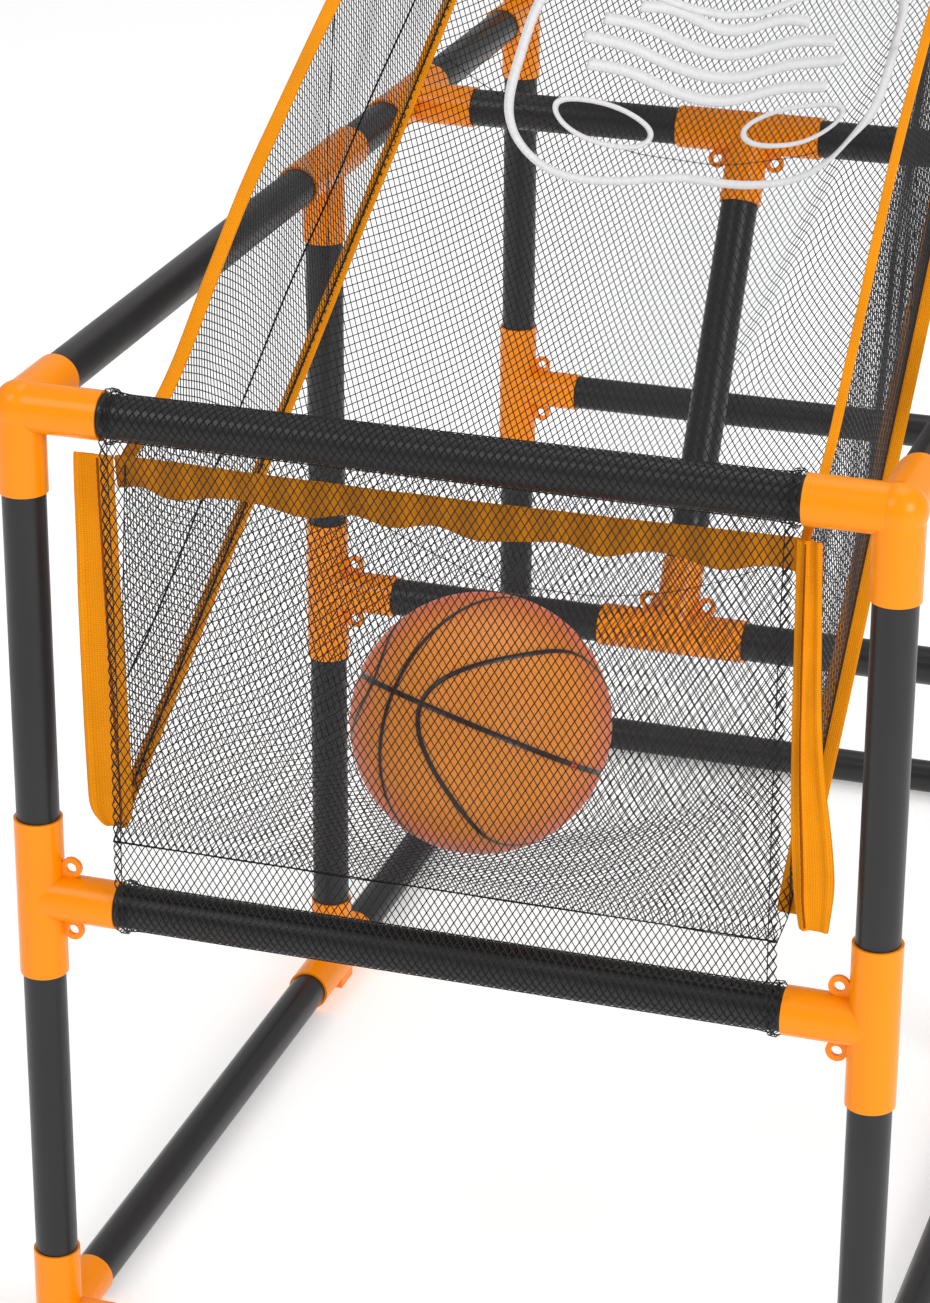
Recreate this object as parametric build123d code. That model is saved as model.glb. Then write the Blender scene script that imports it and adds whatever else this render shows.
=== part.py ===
from build123d import *
import math
import os

# Child-size arcade basketball machine: a box frame of push-fit tubes, a mesh chute that
# returns the balls to the front, and a backboard with a hoop on tall rear posts.
# Millimetres. +Z is up, the player stands on the -Y side, the origin is on the floor
# under the middle of the frame.

# ---- overall sizes (tube axis to tube axis) ----
ROW_WIDTH = 432.0          # left post to right post
FRONT_BAY = 428.0          # front posts to middle posts
REAR_BAY = 385.0           # middle posts to rear posts
LOWER_BAY = 253.0          # floor rails to the lower cross bars
UPPER_BAY = 263.0          # lower cross bars to the side rails
NET_BAR_RISE = 300.0       # side rails to the bar that holds the chute's top end
BOARD_BAR_RISE = 555.0     # side rails to the bar under the backboard
TOP_BAR_RISE = 852.0       # side rails to the bar behind the backboard's top
POST_END_RISE = 916.0      # side rails to the cut ends of the rear posts
SUPPORT_SETBACK = 150.0    # middle posts to the bar under the chute

# ---- tubes and moulded connectors ----
TUBE_OD = 22.0
TUBE_WALL = 0.6
SOCKET_CLEARANCE = 0.1     # radial, tube in socket
SOCKET_WALL = 1.4
SOCKET_REACH = 43.5        # connector centre to socket mouth
STOP_DISTANCE = 13.0       # connector centre to the ledge that stops the tube
CORE_BORE = 18.0
BRANCH_STEP = 0.2          # a tee's branch is this much slimmer in radius than its run
CORNER_SWELL = 0.7         # how far a three-way corner's ball stands proud of its sockets
FOOT_DROP = 1.5            # flat foot below a floor connector
FOOT_SIDE = 20.0
EAR_CLEAR = 5.0            # ear centre from the outside of both sockets of a tee
EAR_OD = 11.0
EAR_HOLE = 5.5
EAR_THICKNESS = 2.2
EAR_WEB_CLEAR = 8.5        # how far the web behind an ear reaches from the sockets' outside
CAP_WALL = 2.0
CAP_SKIRT = 18.0

# ---- chute nets and their bindings ----
NET_THICKNESS = 0.8
SOFT_GAP = 0.3             # a soft sheet to whatever it lies against
SLEEVE_END_GAP = 1.5       # front net's sleeve to the socket mouths
SEAM_RISE = 42.0           # lower front bar's axis to the seam of the chute floor
POST_TO_MOUTH_FOOT = 44.0  # post's axis to the chute's edge, at the foot of the mouth
POST_TO_MOUTH_TOP = 48.5   # at the mouth's top corners
POST_TO_CHUTE_REAR = 78.0  # at the chute's rear end
RAIL_TO_MOUTH_TOP = 24.0   # side rail's axis down to the mouth's top corners
MOUTH_HEIGHT = 190.0
CHUTE_REAR_HEIGHT = 72.0   # side net's height at its rear end
FLOOR_EDGE_AT_BAR = 16.0   # chute floor's rear edge above the net bar's axis
POCKET_SAG = 50.0          # sag of the chute floor where the ball stops
POCKET_DEPTH = 35.0        # the pocket goes on this far behind the ball's lowest point
POCKET_BACK_SAG = 74.0
RAMP_SAG = 66.0            # sag further up the chute
FLOOR_COLUMNS = 10         # flat facets across the chute floor
FLAP_WIDTH = 16.0
LOWER_TAPE_WIDTH = 14.0
UPPER_TAPE_WIDTH = 5.0     # folded over the side net's edge
FLAP_OVERRUN = 4.5         # flaps and hem beyond the mouth's corners
TAPE_THICKNESS = 1.2
HEM_HEIGHT = 20.0
TIE_WIDTH = 14.0

# Share of the ramp's sag, and the upper edge's height over its straight line, along the chute.
RAMP_SHAPE = [(0.2, 1), (0.3, 1), (0.4, 0.97), (0.5, 0.88), (0.6, 0.75), (0.7, 0.58)]
RAMP_SHAPE += [(0.8, 0.4), (0.9, 0.2), (1, 0)]
UPPER_EDGE_WAVE = [(0, 0), (0.07, -7), (0.14, 3), (0.21, 13), (0.33, 18), (0.56, 12), (1, 0)]

# ---- backboard, hoop and ball ----
BOARD_SIDE_MARGIN = 17.5   # board's edge beyond its bolt holes, left and right
BOARD_MARGIN = 16.0        # board's edge beyond its bolt holes, above and below
BOARD_THICKNESS = 4.0
BOARD_CORNER = 22.0
BOLT_D = 5.0
BOLT_HOLE_CLEARANCE = 0.5
BOLT_HEAD_D = 10.0
BOLT_HEAD_H = 2.6
NUT_ACROSS = 8.0
NUT_H = 4.0
SPACER_OD = 9.0
RING_RADIUS = 110.0        # to the rod's centre line
RING_ROD = 8.0
RING_BOARD_GAP = 34.0      # board's front face to the ring's rod
RING_ABOVE_BOARD_HOLES = 55.0
PLATE_WIDTH = 84.0
PLATE_HEIGHT = 60.0
PLATE_THICKNESS = 3.0
PLATE_BOLT_X = 60.0
PLATE_BOLT_Z = 36.0
BRACE_SPREAD = 16.0        # the ring's two support rods from the middle
HOOP_NET_TOP_GAP = 1.0
HOOP_NET_BOTTOM_RADIUS = 76.0
HOOP_NET_LENGTH = 190.0
HOOP_NET_SIDES = 12
BALL_D = 130.0
BALL_WALL = 2.5
BALL_FRONT_GAP = 3.0       # ball to the front net

# ---- levels and rows worked out from the sizes above ----
SOCKET_R = TUBE_OD / 2 + SOCKET_CLEARANCE
CONNECTOR_R = SOCKET_R + SOCKET_WALL
EAR_OFFSET = CONNECTOR_R + EAR_CLEAR
EAR_WEB = CONNECTOR_R + EAR_WEB_CLEAR
FLOOR_Z = CONNECTOR_R + FOOT_DROP
LOWER_Z = FLOOR_Z + LOWER_BAY
RAIL_Z = LOWER_Z + UPPER_BAY
NET_BAR_Z = RAIL_Z + NET_BAR_RISE
BOARD_BAR_Z = RAIL_Z + BOARD_BAR_RISE
TOP_BAR_Z = RAIL_Z + TOP_BAR_RISE
POST_END_Z = RAIL_Z + POST_END_RISE
FRONT_Y = -(FRONT_BAY + REAR_BAY) / 2
MID_Y = FRONT_Y + FRONT_BAY
REAR_Y = MID_Y + REAR_BAY
SUPPORT_Y = MID_Y + SUPPORT_SETBACK
POST_X = ROW_WIDTH / 2
SIDES = {"left": -1, "right": 1}

RIGHT = Vector(1, 0, 0)
BACK = Vector(0, 1, 0)
UP = Vector(0, 0, 1)
FROM_END = (Align.CENTER, Align.CENTER, Align.MIN)
BEHIND = (Align.CENTER, Align.MIN, Align.CENTER)
STRUT_FOOT = Vector(0, MID_Y, LOWER_Z)
STRUT_HEAD = Vector(0, SUPPORT_Y, RAIL_Z)
STRUT_WAY = (STRUT_HEAD - STRUT_FOOT).normalized()

os.makedirs("parts", exist_ok=True)


def save(name, *solids):
    """Write one node: a single solid, or a group of identical ones."""
    shape = solids[0] if len(solids) == 1 else Compound(children=list(solids))
    export_step(shape, f"parts/{name}.step")


def rod(start, way, radius, length):
    """A solid cylinder from a point along a direction."""
    return Plane(origin=start, z_dir=way).location * Cylinder(radius, length, align=FROM_END)


def tube(start, end, start_stop=STOP_DISTANCE, end_stop=STOP_DISTANCE):
    """A frame tube between two connector centres, cut short at the stops inside them."""
    way = (end - start).normalized()
    foot = start + way * start_stop
    length = (end - start).length - start_stop - end_stop
    wall = rod(foot, way, TUBE_OD / 2, length)
    return wall - rod(foot - way, way, TUBE_OD / 2 - TUBE_WALL, length + 2)


def ear(centre, first, second):
    """A ring ear in the inner corner between two sockets, with the web that carries it."""
    flat = Plane(origin=centre, x_dir=first, z_dir=first.cross(second))
    inner = CONNECTOR_R - 2 * SOCKET_WALL
    web = Polyline((inner, inner), (EAR_WEB, inner), (inner, EAR_WEB), close=True)
    plate = make_face(web) + Pos(EAR_OFFSET, EAR_OFFSET) * Circle(EAR_OD / 2)
    plate -= Pos(EAR_OFFSET, EAR_OFFSET) * Circle(EAR_HOLE / 2)
    return extrude(flat * plate, EAR_THICKNESS / 2, both=True)


def connector(centre, run, branches, ears=(), ball=False, foot=False):
    """A moulded fitting: a straight run or a corner ball, branch sockets, ears and a foot."""
    branch_r = CONNECTOR_R - BRANCH_STEP
    core_r = CORE_BORE / 2
    sockets = list(branches)
    hollow = Pos(*centre) * Sphere(core_r + BRANCH_STEP)
    if ball:
        body = Pos(*centre) * Sphere(CONNECTOR_R + CORNER_SWELL)
    if run is not None:
        sockets += [run, -run]
        body = rod(centre - run * SOCKET_REACH, run, CONNECTOR_R, 2 * SOCKET_REACH)
        hollow = rod(centre - run * (STOP_DISTANCE + 1), run, core_r, 2 * STOP_DISTANCE + 2)
    for way in branches:
        body += rod(centre, way, branch_r, SOCKET_REACH)
        hollow += rod(centre, way, core_r - BRANCH_STEP, STOP_DISTANCE + 1)
    if foot:
        body += Pos(centre.X, centre.Y, 0) * Box(FOOT_SIDE, FOOT_SIDE, centre.Z, align=FROM_END)
    for first, second in ears:
        body += ear(centre, first, second)
    for way in sockets:
        hollow += rod(centre + way * STOP_DISTANCE, way, SOCKET_R, SOCKET_REACH)
    return body - hollow


def tee(centre, run, branch, ears=True, foot=False):
    """A tee: a straight run with one branch, and ears in both inner corners."""
    pairs = [(run, branch), (-run, branch)] if ears else []
    return connector(centre, run, [branch], ears=pairs, foot=foot)


def corner(centre, ways, foot=False):
    """A rounded three-way corner."""
    return connector(centre, None, ways, ball=True, foot=foot)


def post_point(side, y, z):
    return Vector(side * POST_X, y, z)


def both_sides(make):
    """The same piece made for the left and the right side."""
    return [make(side) for side in SIDES.values()]


def side_pair(ends, **stops):
    """A mirrored pair of tubes: ends gives (y, z) of each end."""
    (y0, z0), (y1, z1) = ends
    return both_sides(lambda s: tube(post_point(s, y0, z0), post_point(s, y1, z1), **stops))


def side_tubes(name, ends, **stops):
    save(name, *side_pair(ends, **stops))


def cross_tube(y, z):
    return tube(post_point(-1, y, z), post_point(1, y, z))


def half_bars(y, z):
    """Two short bars that meet in a tee at the middle."""
    middle = Vector(0, y, z)
    return both_sides(lambda s: tube(post_point(s, y, z), middle))


def sheet(rows, offset):
    """A thin closed solid over a grid of points, made thick along one direction."""
    lifted = [[p + offset for p in row] for row in rows]
    last_row = len(rows) - 1
    last_column = len(rows[0]) - 1
    faces = []

    def quad(a, b, c, d):
        for triangle in ((a, b, c), (a, c, d)):
            faces.append(Face(Wire.make_polygon(triangle, close=True)))

    for i in range(last_row):
        for j in range(last_column):
            quad(rows[i][j], rows[i + 1][j], rows[i + 1][j + 1], rows[i][j + 1])
            quad(lifted[i][j], lifted[i][j + 1], lifted[i + 1][j + 1], lifted[i + 1][j])
    for j in range(last_column):
        quad(rows[0][j], rows[0][j + 1], lifted[0][j + 1], lifted[0][j])
        quad(rows[-1][j], lifted[-1][j], lifted[-1][j + 1], rows[-1][j + 1])
    for i in range(last_row):
        quad(rows[i][0], lifted[i][0], lifted[i + 1][0], rows[i + 1][0])
        quad(rows[i][-1], rows[i + 1][-1], lifted[i + 1][-1], lifted[i][-1])
    return Solid(Shell(faces))


def mix(a, b, t):
    return a * (1 - t) + b * t


def ribbon(start, end, across, width, thickness):
    """A flat tape between two points; across points over its width."""
    way = (end - start).normalized()
    flat = Plane(origin=start, x_dir=way, z_dir=way.cross(across))
    tape = Box((end - start).length, width, thickness, align=(Align.MIN, Align.CENTER, Align.CENTER))
    return flat.location * tape


# ---- frame tubes ----
posts_lower = []
posts_upper = []
for row_y in (FRONT_Y, MID_Y, REAR_Y):
    posts_lower += side_pair([(row_y, FLOOR_Z), (row_y, LOWER_Z)])
    posts_upper += side_pair([(row_y, LOWER_Z), (row_y, RAIL_Z)])
save("posts_lower", *posts_lower)
save("posts_upper", *posts_upper)
side_tubes("rear_posts_middle", [(REAR_Y, RAIL_Z), (REAR_Y, NET_BAR_Z)])
side_tubes("rear_posts_upper", [(REAR_Y, NET_BAR_Z), (REAR_Y, BOARD_BAR_Z)])
side_tubes("rear_posts_board", [(REAR_Y, BOARD_BAR_Z), (REAR_Y, TOP_BAR_Z)])
side_tubes("rear_post_ends", [(REAR_Y, TOP_BAR_Z), (REAR_Y, POST_END_Z)], end_stop=0)
side_tubes("floor_rails_front", [(FRONT_Y, FLOOR_Z), (MID_Y, FLOOR_Z)])
side_tubes("floor_rails_rear", [(MID_Y, FLOOR_Z), (REAR_Y, FLOOR_Z)])
side_tubes("side_rails_front", [(FRONT_Y, RAIL_Z), (MID_Y, RAIL_Z)])
side_tubes("side_rails_middle", [(MID_Y, RAIL_Z), (SUPPORT_Y, RAIL_Z)])
side_tubes("side_rails_rear", [(SUPPORT_Y, RAIL_Z), (REAR_Y, RAIL_Z)])

CROSS_BARS = {
    "front_bar_top": (FRONT_Y, RAIL_Z),
    "front_bar_lower": (FRONT_Y, LOWER_Z),
    "front_bar_floor": (FRONT_Y, FLOOR_Z),
    "rear_bar_floor": (REAR_Y, FLOOR_Z),
    "rear_bar_lower": (REAR_Y, LOWER_Z),
    "net_bar": (REAR_Y, NET_BAR_Z),
    "board_bar": (REAR_Y, BOARD_BAR_Z),
    "top_bar": (REAR_Y, TOP_BAR_Z),
}
for bar_name, (bar_y, bar_z) in CROSS_BARS.items():
    save(bar_name, cross_tube(bar_y, bar_z))
save("mid_bars", *half_bars(MID_Y, LOWER_Z))
save("support_bars", *half_bars(SUPPORT_Y, RAIL_Z))
save("strut", tube(STRUT_FOOT, STRUT_HEAD))

# ---- moulded connectors ----
for side_name, side in SIDES.items():
    inward = RIGHT * -side
    save(f"corner_front_{side_name}", corner(post_point(side, FRONT_Y, RAIL_Z), [-UP, inward, BACK]))
    save(f"tee_front_{side_name}", tee(post_point(side, FRONT_Y, LOWER_Z), UP, inward))
    save(f"tee_mid_{side_name}", tee(post_point(side, MID_Y, LOWER_Z), UP, inward))
    save(f"tee_rail_{side_name}", tee(post_point(side, MID_Y, RAIL_Z), BACK, -UP, ears=False))
    save(f"tee_rear_{side_name}", tee(post_point(side, REAR_Y, LOWER_Z), UP, inward))


def floor_corner(side, y, along):
    centre = post_point(side, y, FLOOR_Z)
    return corner(centre, [UP, RIGHT * -side, along], foot=True)


def inward_tee(side, y, z, run=UP):
    return tee(post_point(side, y, z), run, RIGHT * -side)


save("corners_floor_front", *both_sides(lambda s: floor_corner(s, FRONT_Y, BACK)))
save("corners_floor_rear", *both_sides(lambda s: floor_corner(s, REAR_Y, -BACK)))
mid_foot = [tee(post_point(s, MID_Y, FLOOR_Z), BACK, UP, ears=False, foot=True) for s in (-1, 1)]
save("tees_floor_mid", *mid_foot)
save("tees_support", *both_sides(lambda s: inward_tee(s, SUPPORT_Y, RAIL_Z, run=BACK)))
rail_ends = [tee(post_point(s, REAR_Y, RAIL_Z), UP, -BACK, ears=False) for s in (-1, 1)]
save("tees_rail_rear", *rail_ends)
save("tees_net_bar", *both_sides(lambda s: inward_tee(s, REAR_Y, NET_BAR_Z)))
save("tees_board", *both_sides(lambda s: inward_tee(s, REAR_Y, BOARD_BAR_Z)))
save("tees_top", *both_sides(lambda s: inward_tee(s, REAR_Y, TOP_BAR_Z)))
save("tee_strut_foot", tee(STRUT_FOOT, RIGHT, STRUT_WAY))
save("tee_strut_head", tee(STRUT_HEAD, RIGHT, -STRUT_WAY))


def post_cap(side):
    """A domed push-on cap on a rear post's cut end."""
    end = post_point(side, REAR_Y, POST_END_Z)
    outer = rod(end - UP * CAP_SKIRT, UP, CONNECTOR_R, CAP_SKIRT + CAP_WALL)
    outer = fillet(outer.edges().sort_by(Axis.Z)[-1], CAP_WALL)
    return outer - rod(end - UP * (CAP_SKIRT + 1), UP, SOCKET_R, CAP_SKIRT + 1)


save("post_caps", *both_sides(post_cap))

# ---- chute: nets, tapes, hem and ties ----
SLEEVE_R = TUBE_OD / 2 + SOFT_GAP
FRONT_NET_HALF = POST_X - SOCKET_REACH - SLEEVE_END_GAP
CHUTE_FRONT_HALF = POST_X - POST_TO_MOUTH_FOOT
MOUTH_TOP_HALF = POST_X - POST_TO_MOUTH_TOP
CHUTE_REAR_HALF = POST_X - POST_TO_CHUTE_REAR
MOUTH_Y = FRONT_Y + SOFT_GAP
MOUTH_TOP_Z = RAIL_Z - RAIL_TO_MOUTH_TOP
MOUTH_FLOOR_Z = MOUTH_TOP_Z - MOUTH_HEIGHT
CHUTE_REAR_Y = REAR_Y - CONNECTOR_R - SOFT_GAP
REAR_FLOOR_Z = NET_BAR_Z + FLOOR_EDGE_AT_BAR
SEAM_Z = LOWER_Z + SEAM_RISE
SEAM_SAG = MOUTH_FLOOR_Z - SEAM_Z
BALL_Y = FRONT_Y - SLEEVE_R + BALL_FRONT_GAP + BALL_D / 2
CHUTE_LENGTH = CHUTE_REAR_Y - MOUTH_Y


def floor_edge(t, side):
    """A point on the seam between chute floor and side net; t runs 0 to 1 from the mouth."""
    front = Vector(side * CHUTE_FRONT_HALF, MOUTH_Y, MOUTH_FLOOR_Z)
    rear = Vector(side * CHUTE_REAR_HALF, CHUTE_REAR_Y, REAR_FLOOR_Z)
    return mix(front, rear, t)


def edge_wave(t):
    """Height of the upper edge over its straight line."""
    for (t0, rise0), (t1, rise1) in zip(UPPER_EDGE_WAVE, UPPER_EDGE_WAVE[1:]):
        if t <= t1:
            return mix(rise0, rise1, (t - t0) / (t1 - t0))


def top_edge(t, side):
    """A point on the side net's upper edge."""
    front = Vector(side * MOUTH_TOP_HALF, MOUTH_Y, MOUTH_TOP_Z)
    rear = Vector(side * CHUTE_REAR_HALF, CHUTE_REAR_Y, REAR_FLOOR_Z + CHUTE_REAR_HEIGHT)
    return mix(front, rear, t) + UP * edge_wave(t)


# Sag of the chute floor's middle below its edges, at stations from the mouth to the rear.
BALL_T = (BALL_Y - MOUTH_Y) / CHUTE_LENGTH
POCKET_T = (BALL_Y + POCKET_DEPTH - MOUTH_Y) / CHUTE_LENGTH
SAG_STATIONS = [(0, SEAM_SAG), (BALL_T, POCKET_SAG), (POCKET_T, POCKET_BACK_SAG)]
SAG_STATIONS += [(t, share * RAMP_SAG) for t, share in RAMP_SHAPE]


def floor_point(t, sag, u):
    """A point of the chute floor; u runs -1 to 1 across it."""
    left = floor_edge(t, -1) + RIGHT * (LOWER_TAPE_WIDTH / 2 + SOFT_GAP)
    right = floor_edge(t, 1) - RIGHT * (LOWER_TAPE_WIDTH / 2 + SOFT_GAP)
    return mix(left, right, (u + 1) / 2) - UP * sag * (1 - u * u)


columns = [2 * i / FLOOR_COLUMNS - 1 for i in range(FLOOR_COLUMNS + 1)]
seam_y = FRONT_Y - SLEEVE_R + SOFT_GAP
seam_row = [Vector(u * (FRONT_NET_HALF - TAPE_THICKNESS), seam_y, SEAM_Z) for u in columns]
lap_z = NET_BAR_Z + SLEEVE_R + 2 * NET_THICKNESS + SOFT_GAP
lap_row = [Vector(u * CHUTE_REAR_HALF, REAR_Y, lap_z) for u in columns]
floor_rows = [seam_row]
floor_rows += [[floor_point(t, sag, u) for u in columns] for t, sag in SAG_STATIONS]
floor_rows += [lap_row]
sleeve_start = Vector(-CHUTE_REAR_HALF, REAR_Y, NET_BAR_Z)
rear_sleeve = rod(sleeve_start, RIGHT, SLEEVE_R + NET_THICKNESS, 2 * CHUTE_REAR_HALF)
rear_sleeve -= rod(sleeve_start - RIGHT, RIGHT, SLEEVE_R, 2 * CHUTE_REAR_HALF + 2)
save("chute_floor_net", sheet(floor_rows, -UP * NET_THICKNESS), rear_sleeve)


def stations(start):
    """Places along the chute's upper edge, the first one this far behind the mouth."""
    return [start / CHUTE_LENGTH] + [t for t, _ in UPPER_EDGE_WAVE[1:]]


def flat_tape(edge, side, width):
    """A tape that lies flat along an edge of the chute, its middle plane on the edge."""
    half = RIGHT * width / 2
    rows = []
    for t in stations(TAPE_THICKNESS + SOFT_GAP):
        under = edge(t, side) - UP * TAPE_THICKNESS / 2
        rows.append([under - half, under + half])
    return sheet(rows, UP * TAPE_THICKNESS)


for side_name, side in SIDES.items():
    gap = UP * (TAPE_THICKNESS / 2 + SOFT_GAP)
    net_stations = stations(TAPE_THICKNESS + 2 * SOFT_GAP)
    rows = [[floor_edge(t, side) + gap, top_edge(t, side) - gap] for t in net_stations]
    save(f"side_net_{side_name}", sheet(rows, RIGHT * side * NET_THICKNESS))
    flap_x = RIGHT * side * (CHUTE_FRONT_HALF + FLAP_WIDTH / 2 - TAPE_THICKNESS)
    flap_y = BACK * (MOUTH_Y - TAPE_THICKNESS / 2)
    flap_foot = flap_x + flap_y + UP * (MOUTH_FLOOR_Z - FLAP_OVERRUN)
    flap_head = flap_x + flap_y + UP * (MOUTH_TOP_Z + FLAP_OVERRUN)
    flap = ribbon(flap_foot, flap_head, RIGHT, FLAP_WIDTH, TAPE_THICKNESS)
    lower = flat_tape(floor_edge, side, LOWER_TAPE_WIDTH)
    upper = flat_tape(top_edge, side, UPPER_TAPE_WIDTH)
    save(f"chute_tape_{side_name}", flap, lower, upper)

hem_half = MOUTH_TOP_HALF - TAPE_THICKNESS - 2 * SOFT_GAP
hem_z = MOUTH_TOP_Z - HEM_HEIGHT / 2 + FLAP_OVERRUN
hem_ends = [Vector(s * hem_half, MOUTH_Y + TAPE_THICKNESS / 2, hem_z) for s in (-1, 1)]
save("front_hem", ribbon(*hem_ends, UP, HEM_HEIGHT, TAPE_THICKNESS))


def front_net():
    """One mesh panel in front of the two front bars, with a sleeve round each bar."""
    across = Plane(origin=(-FRONT_NET_HALF, FRONT_Y, 0), x_dir=BACK, z_dir=RIGHT)
    outer = SLEEVE_R + NET_THICKNESS
    panel_middle = (RAIL_Z + LOWER_Z) / 2
    section = Pos(-SLEEVE_R - NET_THICKNESS / 2, panel_middle) * Rectangle(NET_THICKNESS, UPPER_BAY)
    section += [Pos(0, z) * Circle(outer) for z in (LOWER_Z, RAIL_Z)]
    section -= [Pos(0, z) * Circle(SLEEVE_R) for z in (LOWER_Z, RAIL_Z)]
    return extrude(across * section, 2 * FRONT_NET_HALF)


save("front_net", front_net())


def corner_tie(side):
    """A webbing loop round a rear post that holds the chute's upper corner."""
    post = post_point(side, REAR_Y, (top_edge(1, side).Z))
    inner = SLEEVE_R
    loop = rod(post - UP * TIE_WIDTH / 2, UP, inner + TAPE_THICKNESS, TIE_WIDTH)
    start_x = CHUTE_REAR_HALF + TAPE_THICKNESS + SOFT_GAP
    arm_length = POST_X - start_x
    arm_y = REAR_Y - inner - TAPE_THICKNESS / 2
    arm = Pos(side * (start_x + arm_length / 2), arm_y, post.Z) * Box(arm_length, TAPE_THICKNESS, TIE_WIDTH)
    return loop + arm - rod(post - UP * TIE_WIDTH, UP, inner, 2 * TIE_WIDTH)


save("corner_ties", *both_sides(corner_tie))

# ---- backboard and its fasteners ----
HOLE_R = (BOLT_D + BOLT_HOLE_CLEARANCE) / 2
BOARD_BACK_Y = REAR_Y - CONNECTOR_R - SOFT_GAP
BOARD_FACE_Y = BOARD_BACK_Y - BOARD_THICKNESS
HOLE_LOW_Z = BOARD_BAR_Z + EAR_OFFSET
HOLE_HIGH_Z = TOP_BAR_Z - EAR_OFFSET
HOLE_X = POST_X - EAR_OFFSET
BOARD_HOLES = [(s * HOLE_X, z) for s in (-1, 1) for z in (HOLE_LOW_Z, HOLE_HIGH_Z)]
RING_Z = HOLE_LOW_Z + RING_ABOVE_BOARD_HOLES
PLATE_Z = RING_Z - PLATE_HEIGHT / 2 + RING_ROD
PLATE_HOLES = [(sx * PLATE_BOLT_X / 2, PLATE_Z + sz * PLATE_BOLT_Z / 2) for sx in (-1, 1) for sz in (-1, 1)]


def backboard():
    height = HOLE_HIGH_Z - HOLE_LOW_Z + 2 * BOARD_MARGIN
    middle = (HOLE_HIGH_Z + HOLE_LOW_Z) / 2
    width = 2 * (HOLE_X + BOARD_SIDE_MARGIN)
    outline = Pos(0, middle) * RectangleRounded(width, height, BOARD_CORNER)
    for x, z in BOARD_HOLES + PLATE_HOLES:
        outline -= Pos(x, z) * Circle(HOLE_R)
    facing = Plane(origin=(0, BOARD_FACE_Y, 0), x_dir=RIGHT, z_dir=-BACK)
    return extrude(facing * outline, -BOARD_THICKNESS)


def bolt(x, z, head_y, grip):
    """A pan-head bolt along +Y with its nut, gripping the stack between them."""
    seat = Vector(x, head_y, z)
    screw = rod(seat, BACK, BOLT_D / 2, grip + NUT_H + 1)
    head = rod(seat, -BACK, BOLT_HEAD_D / 2, BOLT_HEAD_H)
    head = fillet(head.edges().sort_by(Axis.Y)[0], BOLT_HEAD_H / 2)
    turned = Plane(origin=seat + BACK * grip, z_dir=BACK)
    nut = extrude(turned * RegularPolygon(NUT_ACROSS / 2, 6, major_radius=False), NUT_H)
    return screw + head + nut


EAR_BACK_Y = REAR_Y + EAR_THICKNESS / 2
EAR_FACE_Y = REAR_Y - EAR_THICKNESS / 2
save("backboard", backboard())
save("board_bolts", *[bolt(x, z, BOARD_FACE_Y, EAR_BACK_Y - BOARD_FACE_Y) for x, z in BOARD_HOLES])


def spacer(x, z):
    seat = Vector(x, BOARD_BACK_Y, z)
    length = EAR_FACE_Y - BOARD_BACK_Y
    return rod(seat, BACK, SPACER_OD / 2, length) - rod(seat, BACK, HOLE_R, length)


save("board_spacers", *[spacer(x, z) for x, z in BOARD_HOLES])

# ---- hoop: ring, two support rods and wall plate welded into one piece ----
RING_Y = BOARD_FACE_Y - RING_BOARD_GAP - RING_RADIUS
PLATE_FACE_Y = BOARD_FACE_Y - PLATE_THICKNESS


def hoop():
    ring = Pos(0, RING_Y, RING_Z) * Torus(RING_RADIUS, RING_ROD / 2)
    plate = Pos(0, BOARD_FACE_Y - PLATE_THICKNESS / 2, PLATE_Z)
    welded = ring + plate * Box(PLATE_WIDTH, PLATE_THICKNESS, PLATE_HEIGHT)
    reach = math.sqrt(RING_RADIUS**2 - BRACE_SPREAD**2)
    for side in SIDES.values():
        start = Vector(side * BRACE_SPREAD, PLATE_FACE_Y + 1, RING_Z)
        welded += rod(start, -BACK, RING_ROD / 2, start.Y - RING_Y - reach)
        under = Vector(side * BRACE_SPREAD, RING_Y + reach, RING_Z)
        low = Vector(side * BRACE_SPREAD, PLATE_FACE_Y + 1, RING_Z - PLATE_HEIGHT / 2)
        welded += rod(low, (under - low).normalized(), RING_ROD / 2, (under - low).length)
    welded -= Pos(0, BOARD_FACE_Y, PLATE_Z) * Box(PLATE_WIDTH, RING_ROD, 2 * PLATE_HEIGHT, align=BEHIND)
    for x, z in PLATE_HOLES:
        welded -= rod(Vector(x, PLATE_FACE_Y - 1, z), BACK, HOLE_R, PLATE_THICKNESS + 2)
    return welded


save("hoop", hoop())
hoop_grip = BOARD_BACK_Y - PLATE_FACE_Y
save("hoop_bolts", *[bolt(x, z, PLATE_FACE_Y, hoop_grip) for x, z in PLATE_HOLES])


def hoop_net():
    """The net's outline: a twelve-sided open cone hanging under the ring."""
    top = RING_Z - RING_ROD / 2 - HOOP_NET_TOP_GAP
    ends = [(RING_RADIUS, top), (HOOP_NET_BOTTOM_RADIUS, top - HOOP_NET_LENGTH)]

    def cone(inset):
        outlines = [Pos(0, RING_Y, z) * RegularPolygon(r - inset, HOOP_NET_SIDES) for r, z in ends]
        return loft(outlines)

    return cone(0) - cone(NET_THICKNESS)


save("hoop_net", hoop_net())

# ---- ball, stopped in the chute's pocket against the front net ----
BALL_Z = floor_point(BALL_T, POCKET_SAG, 0).Z + BALL_D / 2 + 2 * SOFT_GAP
ball_shell = Sphere(BALL_D / 2) - Sphere(BALL_D / 2 - BALL_WALL)
save("ball", Pos(0, BALL_Y, BALL_Z) * ball_shell)
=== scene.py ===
"""Detail for a child-size arcade basketball machine: nets, bindings, ball, hoop and finishes."""
import math

import bmesh
import bpy
from bpy.props import FloatProperty, FloatVectorProperty, IntProperty, PointerProperty
from mathutils import Euler, Matrix, Vector, noise


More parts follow.
